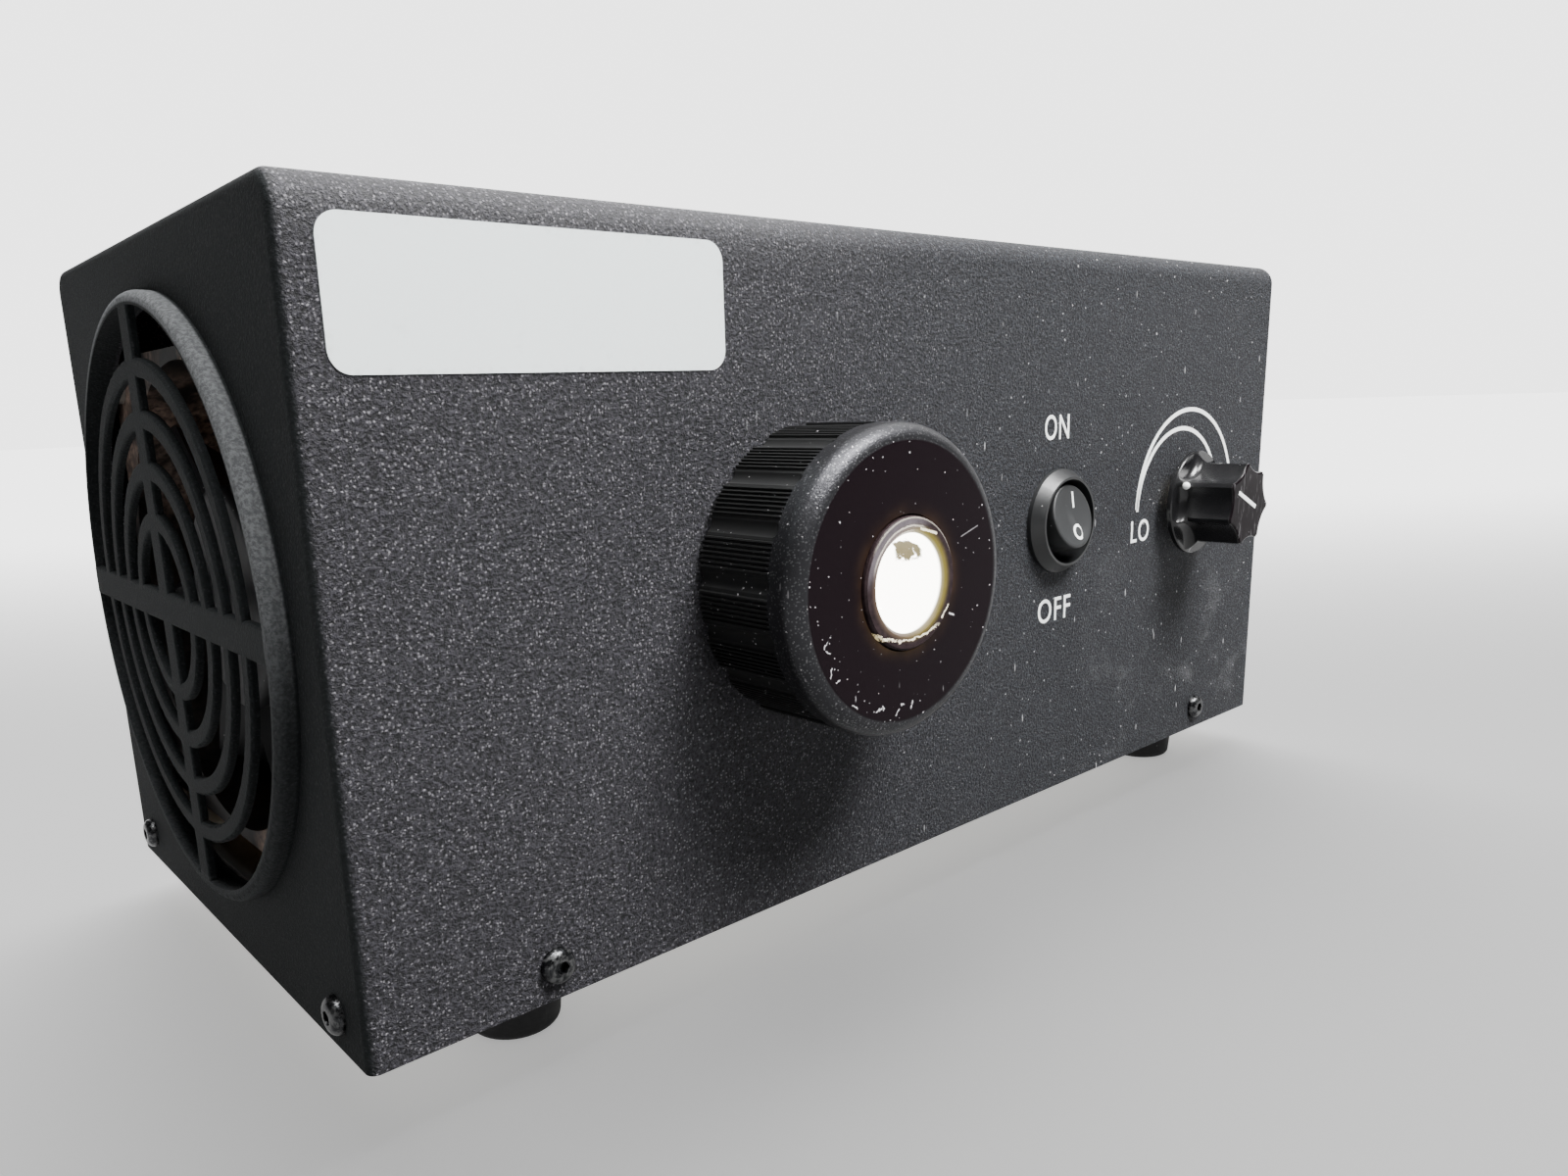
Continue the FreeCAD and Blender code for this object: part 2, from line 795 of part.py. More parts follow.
def nose_nut():
    nut = ring_y(guide_x, guide_z, nose_thread_radius + thread_gap, nose_nut_radius,
                 front - nose_nut_thickness, front)
    notches = []
    for i in range(nose_nut_notches):
        notch = box(guide_x + nose_nut_radius - nose_notch_depth, guide_x + nose_nut_radius + past,
                    front - nose_nut_thickness - past, front + past,
                    guide_z - nose_notch_width / 2, guide_z + nose_notch_width / 2)
        angle = 360 / nose_nut_notches * (i + 0.5)
        notches.append(turned(notch, angle, V(guide_x, 0, guide_z), V(0, 1, 0)))
    return nut.cut(Part.makeCompound(notches))


def heat_glass():
    y1 = nose_rear - retainer_thickness - seat_gap
    return rod_y(guide_x, guide_z, heat_glass_radius, y1 - heat_glass_thickness + seat_gap, y1)


def glass_retainer():
    return ring_y(guide_x, guide_z, retainer_bore_radius, heat_glass_radius + hole_gap - seat_gap,
                  nose_rear - retainer_thickness, nose_rear)


def guide_collet():
    """The collet that grips the light guide: front lip, drive flange, barrel and slotted fingers."""
    lip_front = knob_face - collet_lip
    barrel = collet_barrel_radius
    outline = [(guide_bore_radius, lip_front + collet_mouth_bevel),
               (guide_bore_radius + collet_mouth_bevel, lip_front),
               (collet_lip_radius - collet_lip_bevel, lip_front),
               (collet_lip_radius, lip_front + collet_lip_bevel),
               (collet_lip_radius, collet_flange_front),
               (collet_flange_radius, collet_flange_front),
               (collet_flange_radius, collet_flange_rear),
               (barrel, collet_flange_rear), (barrel, taper_front),
               (collet_taper_radius - free_gap, collet_rear - collet_taper_land),
               (collet_taper_radius - free_gap, collet_rear),
               (guide_bore_radius, collet_rear)]
    body = turned_y(guide_x, guide_z, outline)
    slots = []
    for i in range(collet_slots):
        slot = box(guide_x, guide_x + barrel + past, collet_flange_rear + collet_finger_root,
                   collet_rear + past, guide_z - collet_slot / 2, guide_z + collet_slot / 2)
        angle = 360 / collet_slots * (i + 0.5)
        slots.append(turned(slot, angle, V(guide_x, 0, guide_z), V(0, 1, 0)))
    return body.cut(Part.makeCompound(slots))


def thrust_washer():
    return ring_y(guide_x, guide_z, collet_lip_radius + hole_gap, collet_flange_radius,
                  washer_front, washer_front + thrust_washer_thickness)


def rib_outline():
    """The closed outline of the ribbed grip, seen along its axis."""
    points = []
    group_pitch = 360 / rib_groups
    top_half = rib_pitch_deg * rib_top_share / 2
    foot_half = rib_pitch_deg * rib_foot_share / 2
    valley = knob_radius - rib_height
    for group in range(rib_groups):
        middle = scallop_start_deg + group_pitch * (group + 0.5)
        for rib in range(ribs_per_group):
            centre = middle + (rib - (ribs_per_group - 1) / 2) * rib_pitch_deg
            for offset, radius in ((-foot_half, valley), (-top_half, knob_radius),
                                   (top_half, knob_radius), (foot_half, valley)):
                angle = math.radians(centre + offset)
                points.append(V(guide_x + radius * math.cos(angle), 0,
                                guide_z + radius * math.sin(angle)))
    return Part.makePolygon(points + points[:1])


def clamp_knob():
    """The ribbed knob: grip with grouped ribs and scallops, rounded shoulder, flat face."""
    base = front - knob_gap
    ribs_front = knob_face + knob_smooth_band
    grip = Part.Face(rib_outline()).extrude(V(0, base - ribs_front, 0))
    grip.translate(V(0, ribs_front, 0))
    cap = rod_y(guide_x, guide_z, knob_radius, knob_face, ribs_front)
    cap = round_edges(cap, knob_shoulder, lambda c: near(c.y, knob_face))
    knob = cap.fuse(grip)
    scallop_offset = knob_radius + scallop_radius - scallop_depth
    scallops = []
    for group in range(rib_groups):
        angle = math.radians(scallop_start_deg + 360 / rib_groups * group)
        x = guide_x + scallop_offset * math.cos(angle)
        z = guide_z + scallop_offset * math.sin(angle)
        end = ribs_front + scallop_set_back
        scallops.append(rod_y(x, z, scallop_radius, end, base + past))
        scallops.append(Part.makeSphere(scallop_radius, V(x, end, z)))
    knob = knob.cut(Part.makeCompound(scallops))
    hollow = [rod_y(guide_x, guide_z, collet_lip_radius + free_gap, knob_face - past,
                    knob_face + knob_face_wall + past),
              rod_y(guide_x, guide_z, knob_cavity_radius, knob_face + knob_face_wall, nose_front),
              ring_y(guide_x, guide_z, collet_lip_radius, knob_cavity_radius + clip_groove_depth,
                     clip_front - thread_gap, clip_rear + thread_gap),
              rod_y(guide_x, guide_z, nose_thread_radius + running_gap, nose_front - free_gap, base + past),
              rod_y(guide_x, guide_z, nose_nut_radius + nut_room, counterbore_front, base + past)]
    return knob.cut(hollow[0].multiFuse(hollow[1:]))


def retaining_clip():
    clip = ring_y(guide_x, guide_z, clip_inner_radius, knob_cavity_radius + clip_groove_depth - free_gap,
                  clip_front, clip_rear)
    opening = box(guide_x, guide_x + knob_radius, clip_front - past, clip_rear + past,
                  guide_z - clip_opening / 2, guide_z + clip_opening / 2)
    return clip.cut(opening)


# ---------------------------------------------------------------- lamp
rim_front = front + lamp_rim_setback


def bowl_outline(offset, front_y):
    """Points on the reflector's curve from rim to neck, set in by offset."""
    points = []
    for i in range(bowl_steps + 1):
        share = i / bowl_steps
        radius = lamp_neck_radius + (lamp_bowl_radius - lamp_neck_radius) * math.sqrt(1 - share)
        points.append((radius - offset, front_y + lamp_bowl_depth * share))
    return points


def lamp_reflector():
    outer = bowl_outline(0, rim_front)
    inner = bowl_outline(lamp_glass, rim_front)
    outline = [(lamp_bowl_radius - lamp_glass, rim_front), (lamp_rim_radius, rim_front),
               (lamp_rim_radius, rim_front + lamp_rim_thickness),
               (lamp_bowl_radius, rim_front + lamp_rim_thickness)]
    outline += [p for p in outer if p[1] > rim_front + lamp_rim_thickness]
    outline += [p for p in reversed(inner) if p[1] > rim_front]
    return turned_y(guide_x, guide_z, outline)


def lamp_capsule():
    base_front = rim_front + lamp_bowl_depth
    tip = base_front - capsule_length
    tube = rod_y(guide_x, guide_z, capsule_radius, tip, base_front)
    return round_edges(tube, capsule_radius * capsule_tip_share, lambda c: near(c.y, tip))


def lamp_base():
    y0 = rim_front + lamp_bowl_depth + seat_gap
    base = rod_y(guide_x, guide_z, lamp_neck_radius, y0, lamp_rear)
    base = round_edges(base, lamp_base_edge, lambda c: near(c.y, lamp_rear))
    pins = [rod_y(guide_x + side * lamp_pin_spacing / 2, guide_z, lamp_pin_radius, lamp_rear - past,
                  lamp_rear + lamp_pin_length) for side in (-1, 1)]
    return base.multiFuse(pins)


def lamp_socket():
    socket = rounded_box(guide_x - socket_width / 2, guide_x + socket_width / 2, socket_front,
                         socket_rear, guide_z - socket_height / 2, guide_z + socket_height / 2,
                         socket_corner, 1)
    holes = [rod_y(guide_x + side * lamp_pin_spacing / 2, guide_z, lamp_pin_radius + pin_gap,
                   socket_front - past, socket_front + lamp_pin_length + pin_gap) for side in (-1, 1)]
    holes += [rod_y(x, guide_z, m3_radius + thread_gap, socket_rear - socket_screw_depth, socket_rear + past)
              for x in socket_screw_places()]
    return socket.cut(Part.makeCompound(holes))


def socket_screw_places():
    return [guide_x + side * (socket_width / 2 - socket_screw_inset) for side in (-1, 1)]


def socket_screws():
    seat = socket_plate_front + bracket_sheet + seat_gap
    return [pan_screw(V(x, seat, guide_z), V(0, 1, 0), bracket_sheet + socket_screw_bite)
            for x in socket_screw_places()]


def standing_bracket(front_y, foot_y, height):
    """A plate standing across the case with a foot along the base plate."""
    half = holder_width / 2
    plate = box(guide_x - half, guide_x + half, front_y, front_y + bracket_sheet,
                plate_top + seat_gap, height)
    low = min(foot_y, front_y)
    high = max(foot_y, front_y + bracket_sheet)
    foot = box(guide_x - half, guide_x + half, low, high, plate_top + seat_gap,
               plate_top + seat_gap + bracket_sheet)
    return bracket_holes(plate.fuse(foot))


def lamp_holder():
    plate = standing_bracket(holder_front, holder_front - bracket_foot,
                             guide_z + lamp_rim_radius + holder_margin)
    cuts = [rod_y(guide_x, guide_z, lamp_window_radius, holder_front - past, rim_front)]
    for x, z in clip_screw_places():
        cuts.append(rod_y(x, z, m3_radius + thread_gap, holder_front - past, rim_front))
    return plate.cut(Part.makeCompound(cuts)).removeSplitter()


def clip_screw_places():
    return [(guide_x, guide_z + side * (lamp_rim_radius + clip_screw_offset)) for side in (-1, 1)]


def lamp_clips():
    """Two spring strips, above and below, that press the lamp's rim against its holder."""
    plate_rear = holder_front + bracket_sheet + seat_gap
    rim_back = rim_front + lamp_rim_thickness + seat_gap
    low = guide_x - clip_width / 2
    high = guide_x + clip_width / 2
    root = guide_z + lamp_rim_radius + holder_margin
    step = guide_z + lamp_rim_radius + clip_step
    tip = guide_z + lamp_rim_radius - clip_hold
    strip = box(low, high, plate_rear, plate_rear + clip_strip, step - clip_strip, root)
    riser = box(low, high, plate_rear, rim_back + clip_strip, step - clip_strip, step)
    arm = box(low, high, rim_back, rim_back + clip_strip, tip, step)
    hole = rod_y(guide_x, guide_z + lamp_rim_radius + clip_screw_offset, m3_radius + hole_gap,
                 plate_rear - past, plate_rear + clip_strip + past)
    clip = strip.multiFuse([riser, arm]).cut(hole).removeSplitter()
    return [clip, turned(clip, 180, V(guide_x, 0, guide_z), V(0, 1, 0))]


def clip_screws():
    seat = holder_front + bracket_sheet + clip_strip + 2 * seat_gap
    return [pan_screw(V(x, seat, z), V(0, 1, 0), clip_strip + bracket_sheet + seat_gap + screw_past)
            for x, z in clip_screw_places()]


def socket_bracket():
    plate = standing_bracket(socket_plate_front, socket_plate_front + bracket_sheet + bracket_foot,
                             guide_z + socket_height)
    holes = [rod_y(x, guide_z, m3_radius + hole_gap, socket_plate_front - past,
                   socket_plate_front + bracket_sheet + past)
             for x in socket_screw_places()]
    return plate.cut(Part.makeCompound(holes)).removeSplitter()


def heat_shield():
    wall = box(shield_x, shield_x + bracket_sheet, shield_front, shield_front + shield_depth,
               plate_top + seat_gap, plate_top + shield_height)
    foot = box(shield_x, shield_x + bracket_sheet + shield_foot, shield_front, shield_front + shield_depth,
               plate_top + seat_gap, plate_top + seat_gap + bracket_sheet)
    return bracket_holes(wall.fuse(foot)).removeSplitter()


def thermal_cutout():
    """The over-temperature switch on the heat shield: a can, its flange and two tabs."""
    face = shield_x + bracket_sheet + seat_gap
    y = shield_front + shield_depth / 2
    z = plate_top + shield_height - cutout_drop
    flange_face = face + cutout_flange
    can_face = flange_face + cutout_depth
    can = rod_x(y, z, cutout_radius, flange_face, can_face)
    flange = rod_x(y, z, cutout_flange_radius, face, flange_face)
    tabs = []
    for side in (-1, 1):
        middle = y + side * cutout_tab_spacing / 2
        tabs.append(box(can_face, can_face + cutout_tab_length, middle - cutout_tab_thickness / 2,
                        middle + cutout_tab_thickness / 2, z - cutout_tab_width / 2,
                        z + cutout_tab_width / 2))
    return can.multiFuse([flange] + tabs)


# ---------------------------------------------------------------- fan
hub_front = fan_left + fan_hub_inset
hub_rear = hub_front + fan_hub_length
motor_plate_left = fan_right - fan_plate_thickness
stator_left = hub_front + fan_hub_wall + fan_stator_gap


def fan_hole_places():
    half = fan_hole_pitch / 2
    return [(fan_y + side * half, fan_z + level * half) for side in (-1, 1) for level in (-1, 1)]


def fan_frame():
    half = fan_size / 2
    flanges = [rounded_box(x, x + fan_flange, fan_y - half, fan_y + half, fan_z - half, fan_z + half,
                           fan_corner, 0) for x in (fan_left, fan_right - fan_flange)]
    duct = rod_x(fan_y, fan_z, half - fan_duct_inset, fan_left + past, fan_right - past)
    posts = [rod_x(y, z, fan_hole_radius + fan_post_wall, fan_left + past, fan_right - past)
             for y, z in fan_hole_places()]
    frame = flanges[0].multiFuse([flanges[1], duct] + posts)
    cuts = [rod_x(fan_y, fan_z, fan_bore_radius, fan_left - past, fan_right + past)]
    cuts += [rod_x(y, z, fan_hole_radius, fan_left - past, fan_right + past) for y, z in fan_hole_places()]
    frame = frame.cut(cuts[0].multiFuse(cuts[1:]))
    plate = rod_x(fan_y, fan_z, fan_stator_radius + fan_stator_wall, motor_plate_left, fan_right)
    strut = box(motor_plate_left, fan_right, fan_y - fan_strut_width / 2, fan_y + fan_strut_width / 2,
                fan_z + fan_stator_radius, fan_z + fan_bore_radius + past)
    struts = [turned(strut, fan_strut_start_deg + 360 / fan_struts * i, V(0, fan_y, fan_z), V(1, 0, 0))
              for i in range(fan_struts)]
    plate = plate.multiFuse(struts)
    plate = plate.cut(rod_x(fan_y, fan_z, fan_bearing_radius + thread_gap, fan_left, fan_right + past))
    return frame.fuse(plate).removeSplitter()


def fan_bearing():
    return ring_x(fan_y, fan_z, fan_shaft_radius + running_gap, fan_bearing_radius,
                  stator_left + fan_bearing_inset, fan_right)


def fan_stator():
    """The motor's coils: a ring with six poles round the bearing tube."""
    x0 = stator_left + fan_stator_gap
    x1 = motor_plate_left - fan_stator_lift
    core = rod_x(fan_y, fan_z, fan_bearing_radius + fan_stator_wall, x0, x1)
    pole = box(x0 + fan_bearing_inset, x1 - fan_bearing_inset, fan_y - fan_pole_width / 2,
               fan_y + fan_pole_width / 2, fan_z, fan_z + fan_stator_radius)
    poles = [turned(pole, 360 / fan_poles * i, V(0, fan_y, fan_z), V(1, 0, 0))
             for i in range(fan_poles)]
    stator = core.multiFuse(poles)
    return stator.cut(rod_x(fan_y, fan_z, fan_bearing_radius + thread_gap, x0 - past, x1 + past))


def fan_impeller():
    """The rotor: a cup over the motor with pitched blades round it."""
    hub = rod_x(fan_y, fan_z, fan_hub_radius, hub_front, hub_rear)
    hub = round_edges(hub, fan_hub_edge, lambda c: near(c.x, hub_front))
    tip = fan_bore_radius - fan_tip_gap
    middle = (hub_front + hub_rear) / 2
    blade = box(-fan_blade_width / 2, fan_blade_width / 2, -fan_blade_thickness / 2,
                fan_blade_thickness / 2, fan_hub_radius - past, fan_bore_radius)
    blade.rotate(V(0, 0, 0), V(0, 0, 1), fan_blade_angle)
    blade.translate(V(middle, fan_y, fan_z))
    swept = rod_x(fan_y, fan_z, tip, hub_front + fan_blade_inset, hub_rear - fan_blade_inset)
    blade = blade.common(swept)
    blades = [turned(blade, 360 / fan_blades * i, V(0, fan_y, fan_z), V(1, 0, 0))
              for i in range(fan_blades)]
    rotor = hub.multiFuse(blades)
    cup = rod_x(fan_y, fan_z, fan_hub_radius - fan_hub_wall, hub_front + fan_hub_wall, hub_rear + past)
    bore = rod_x(fan_y, fan_z, fan_shaft_radius, hub_front - past, hub_rear)
    return rotor.cut(cup.fuse(bore)).removeSplitter()


def fan_shaft():
    return rod_x(fan_y, fan_z, fan_shaft_radius, hub_front + fan_shaft_inset, fan_right - fan_shaft_end)


def fan_bracket():
    """The plate behind the fan, with a round air opening and a foot on the base plate."""
    half = fan_size / 2
    x0 = fan_plate_left
    x1 = x0 + bracket_sheet
    plate = box(x0, x1, fan_y - half, fan_y + half, plate_top + seat_gap, fan_z + half)
    corners = [box(x0 - past, x1 + past, fan_y + side * (half - fan_foot_inset) - fan_foot_inset,
                   fan_y + side * (half - fan_foot_inset) + fan_foot_inset, plate_top - past,
                   plate_top + base_flange) for side in (-1, 1)]
    half_foot = half - 2 * fan_foot_inset
    foot = box(x0, x1 + fan_foot_length, fan_y - half_foot, fan_y + half_foot, plate_top + seat_gap,
               plate_top + seat_gap + bracket_sheet)
    plate = plate.cut(Part.makeCompound(corners))
    plate = bracket_holes(plate.fuse(foot))
    cuts = [rod_x(fan_y, fan_z, fan_bore_radius, x0 - past, x1 + past)]
    cuts += [rod_x(y, z, m4_radius + hole_gap, x0 - past, x1 + past) for y, z in fan_hole_places()]
    return plate.cut(Part.makeCompound(cuts)).removeSplitter()


def fan_screws():
    shank = fan_depth + seat_gap + bracket_sheet + m4_nut_height + screw_past
    return [pan_screw(V(fan_left, y, z), V(-1, 0, 0), shank, m4_radius, m4_head_radius, m4_head_height)
            for y, z in fan_hole_places()]


def fan_nuts():
    seat = fan_plate_left + bracket_sheet
    return [hex_nut(V(seat, y, z), V(1, 0, 0), m4_nut_across, m4_nut_height, m4_radius + thread_gap)
            for y, z in fan_hole_places()]


# ---------------------------------------------------------------- power switch
rocker_axis_y = front + rocker_pivot_depth


def switch_housing():
    """The round snap-in body with its tapered bezel, rocker well and two snap tabs."""
    rim_radius = bezel_inner_radius + bezel_rim
    bezel = turned_y(switch_x, switch_z, [(0, front), (bezel_radius, front),
                                         (bezel_radius, front - bezel_foot),
                                         (rim_radius, front - bezel_height),
                                         (0, front - bezel_height)])
    body = rod_y(switch_x, switch_z, switch_body_radius, front, front + switch_body_depth)
    tabs = []
    for side in (-1, 1):
        middle = switch_x + side * (switch_body_radius - snap_tab_sink)
        tabs.append(box(middle - snap_tab_thickness / 2, middle + snap_tab_thickness / 2,
                        front_in + free_gap, front_in + free_gap + snap_tab_length,
                        switch_z - snap_tab_width / 2, switch_z + snap_tab_width / 2))
    housing = bezel.multiFuse([body] + tabs)
    well = rod_y(switch_x, switch_z, bezel_inner_radius, front - bezel_height - past,
                 front + rocker_pivot_depth + rocker_back + rocker_well_gap)
    pin_reach = bezel_inner_radius + rocker_pin_reach + rocker_pin_gap
    pin_holes = rod_x(rocker_axis_y, switch_z, rocker_pin_radius + running_gap,
                      switch_x - pin_reach, switch_x + pin_reach)
    housing = housing.cut(well.fuse(pin_holes))
    slots = [box(switch_x - terminal_width / 2 - seat_gap, switch_x + terminal_width / 2 + seat_gap,
                 front + switch_body_depth - terminal_seat - terminal_seat_gap,
                 front + switch_body_depth + past,
                 switch_z + level - terminal_thickness / 2 - seat_gap,
                 switch_z + level + terminal_thickness / 2 + seat_gap)
             for level in terminal_levels()]
    return housing.cut(Part.makeCompound(slots)).removeSplitter()


def terminal_levels():
    return [-terminal_pitch, 0.0, terminal_pitch]


def switch_terminals():
    y0 = front + switch_body_depth - terminal_seat
    return [box(switch_x - terminal_width / 2, switch_x + terminal_width / 2, y0,
                y0 + terminal_seat + terminal_length, switch_z + level - terminal_thickness / 2,
                switch_z + level + terminal_thickness / 2) for level in terminal_levels()]


def switch_rocker():
    """The rocker, shaped in its middle position and then tipped to ON."""
    face = front - rocker_rise
    back = rocker_axis_y + rocker_back
    outline = [V(0, face, switch_z + rocker_radius),
               V(0, back - rocker_back_bevel, switch_z + rocker_radius),
               V(0, back, switch_z + rocker_back_half),
               V(0, back, switch_z - rocker_back_half),
               V(0, back - rocker_back_bevel, switch_z - rocker_radius),
               V(0, face, switch_z - rocker_radius)]
    slab = Part.Face(Part.makePolygon(outline + outline[:1])).extrude(V(2 * rocker_radius, 0, 0))
    slab.translate(V(switch_x - rocker_radius, 0, 0))
    reach = bezel_inner_radius - free_gap
    round_side = rod_y(switch_x, switch_z, rocker_radius, face - past, back + past)
    swing = rod_x(rocker_axis_y, switch_z, reach, switch_x - rocker_radius - past,
                  switch_x + rocker_radius + past)
    body = slab.common(round_side).common(swing)
    body = round_edges(body, rocker_edge, lambda c: near(c.y, face))
    dish_half = rocker_radius - rocker_dish_rim
    dish_radius = (dish_half ** 2 + rocker_dish_depth ** 2) / (2 * rocker_dish_depth)
    body = body.cut(Part.makeSphere(dish_radius, V(switch_x, face + rocker_dish_depth - dish_radius, switch_z)))
    pin_reach = bezel_inner_radius + rocker_pin_reach
    pins = rod_x(rocker_axis_y, switch_z, rocker_pin_radius, switch_x - pin_reach, switch_x + pin_reach)
    rocker = body.fuse(pins)
    return turned(rocker, -rocker_angle, V(0, rocker_axis_y, switch_z), V(1, 0, 0))


# ---------------------------------------------------------------- dimmer
dimmer_base = front - dimmer_gap
dimmer_face = dimmer_base - dimmer_length


def potentiometer():
    """The dimmer control: can, threaded bushing and three solder tabs."""
    can = rod_y(dimmer_x, dimmer_z, pot_radius, front_in + seat_gap, front_in + pot_depth)
    bushing = rod_y(dimmer_x, dimmer_z, bushing_radius, front_in - bushing_length, front_in + past)
    tab_front = front_in + pot_depth - pot_tab_setback
    tabs = [box(dimmer_x + offset - pot_tab_width / 2, dimmer_x + offset + pot_tab_width / 2, tab_front,
                tab_front + pot_tab_thickness, dimmer_z - pot_radius - pot_tab_length,
                dimmer_z - pot_radius + pot_rear_wall)
            for offset in (-pot_tab_pitch, 0.0, pot_tab_pitch)]
    body = can.multiFuse([bushing] + tabs)
    bore = rod_y(dimmer_x, dimmer_z, shaft_radius + running_gap, front_in - bushing_length - past,
                 front_in + pot_depth - pot_rear_wall)
    return body.cut(bore)


def bushing_nut():
    return hex_nut(V(dimmer_x, front - seat_gap, dimmer_z), V(0, -1, 0), bushing_nut_across,
                   bushing_nut_height, bushing_radius + thread_gap)


def dimmer_shaft():
    return rod_y(dimmer_x, dimmer_z, shaft_radius, dimmer_face + dimmer_face_wall,
                 front_in + pot_depth - pot_rear_wall - pot_shaft_gap)


def dimmer_knob():
    """The skirted knob: a thin skirt, a cone up to the fluted body, and a shaft bore."""
    cone_front = dimmer_base - dimmer_skirt_height - dimmer_cone_height
    outline = [(0, dimmer_base), (dimmer_skirt_radius, dimmer_base),
               (dimmer_skirt_radius, dimmer_base - dimmer_skirt_height),
               (dimmer_body_radius, cone_front), (dimmer_body_radius, dimmer_face),
               (0, dimmer_face)]
    knob = turned_y(dimmer_x, dimmer_z, outline)
    cutter_offset = dimmer_body_radius - dimmer_flute_depth + dimmer_flute_radius
    flutes = []
    for i in range(dimmer_flutes):
        angle = math.radians(dimmer_pointer_deg + 360 / dimmer_flutes * (i + 0.5))
        x = dimmer_x + cutter_offset * math.cos(angle)
        z = dimmer_z + cutter_offset * math.sin(angle)
        end = dimmer_base - dimmer_skirt_height - dimmer_cutter_lift
        cutter = rod_y(x, z, dimmer_flute_radius, dimmer_face - past, end)
        flutes.append(round_edges(cutter, dimmer_flute_blend, lambda c: near(c.y, end)))
    knob = knob.cut(Part.makeCompound(flutes))
    knob = round_edges(knob, dimmer_edge, lambda c: near(c.y, dimmer_face))
    room = rod_y(dimmer_x, dimmer_z, bushing_radius + dimmer_bushing_room,
                 front_in - bushing_length - dimmer_bushing_clear, dimmer_base + past)
    bore = rod_y(dimmer_x, dimmer_z, shaft_radius, dimmer_face + dimmer_face_wall, dimmer_base + past)
    knob = knob.cut(room.fuse(bore))
    return knob.cut(set_screw_rod(shaft_radius - past, dimmer_body_radius + past,
                                  set_screw_radius + thread_gap))


def set_screw_rod(start, end, radius):
    """A rod standing out of the shaft, square to it, in the flute opposite the pointer."""
    angle = math.radians(dimmer_pointer_deg + 180)
    direction = V(math.cos(angle), 0, math.sin(angle))
    y = dimmer_face + set_screw_inset
    origin = V(dimmer_x, y, dimmer_z) + direction * start
    return Part.makeCylinder(radius, end - start, origin, direction)


def dimmer_set_screw():
    return set_screw_rod(shaft_radius, dimmer_body_radius - dimmer_flute_depth - set_screw_sink,
                         set_screw_radius)


# ---------------------------------------------------------------- transformer
def core_window_span():
    """Inner and outer distance of the coil windows from the middle of the core."""
    return core_leg, core_width / 2 - core_leg


def transformer_core():
    half = core_width / 2
    y0 = transformer_y - core_stack / 2
    y1 = transformer_y + core_stack / 2
    core = box(transformer_x - half, transformer_x + half, y0, y1, core_bottom, core_bottom + core_height)
    near_side, far_side = core_window_span()
    windows = []
    for side in (-1, 1):
        a = transformer_x + side * near_side
        b = transformer_x + side * far_side
        windows.append(box(min(a, b), max(a, b), y0 - past, y1 + past, core_bottom + core_leg,
                           core_bottom + core_height - core_leg))
    holes = [rod_y(x, z, rivet_radius + thread_gap, y0 - past, y1 + past) for x, z in rivet_places()]
    return core.cut(Part.makeCompound(windows + holes))


def transformer_coil():
    near_side, far_side = core_window_span()
    z0 = core_bottom + core_leg + free_gap
    z1 = core_bottom + core_height - core_leg - free_gap
    half_depth = core_stack / 2 + coil_overhang
    outer = box(transformer_x - far_side + free_gap, transformer_x + far_side - free_gap,
                transformer_y - half_depth, transformer_y + half_depth, z0, z1)
    outer = round_edges(outer, coil_corner, lambda c: near(abs(c.x - transformer_x), far_side - free_gap)
                        and near(abs(c.y - transformer_y), half_depth))
    hole = box(transformer_x - near_side - free_gap, transformer_x + near_side + free_gap,
               transformer_y - core_stack / 2 - free_gap, transformer_y + core_stack / 2 + free_gap,
               z0 - past, z1 + past)
    return outer.cut(hole)


def rivet_places():
    across = core_width / 2 - rivet_inset
    return [(transformer_x + side * across, z) for side in (-1, 1)
            for z in (core_bottom + rivet_inset, core_bottom + core_height - rivet_inset)]


def transformer_brackets():
    """Two angles along the foot of the core, riveted to it and screwed to the base plate."""
    brackets = []
    low = plate_top + seat_gap
    x0 = transformer_x - core_width / 2
    x1 = transformer_x + core_width / 2
    for side in (-1, 1):
        face = transformer_y + side * (core_stack / 2 + seat_gap)
        back = face + side * bracket_sheet
        end = back + side * core_foot
        upright = box(x0, x1, min(face, back), max(face, back), low, low + core_leg - core_bracket_drop)
        foot = box(x0, x1, min(face, end), max(face, end), low, low + bracket_sheet)
        holes = [rod_y(x, z, rivet_radius + hole_gap, min(face, back) - past, max(face, back) + past)
                 for x, z in rivet_places()]
        bracket = upright.fuse(foot).cut(Part.makeCompound(holes))
        brackets.append(bracket_holes(bracket).removeSplitter())
    return brackets


def core_rivets():
    """Rivets through the corners of the core; the lower two also hold the brackets."""
    rivets = []
    for x, z in rivet_places():
        low = z < core_bottom + core_height / 2
        reach = core_stack / 2 + (seat_gap + bracket_sheet if low else 0) + seat_gap
        rivet = rod_y(x, z, rivet_radius, transformer_y - reach, transformer_y + reach)
        heads = [rod_y(x, z, rivet_head_radius, transformer_y - reach - rivet_head_height,
                       transformer_y - reach),
                 rod_y(x, z, rivet_head_radius, transformer_y + reach,
                       transformer_y + reach + rivet_head_height)]
        rivets.append(rivet.multiFuse(heads))
    return rivets


# ---------------------------------------------------------------- dimmer board
def board_corners():
    x = board_width / 2 - board_corner_inset
    y = board_depth / 2 - board_corner_inset
    return [(board_x + side * x, board_y + end * y) for side in (-1, 1) for end in (-1, 1)]


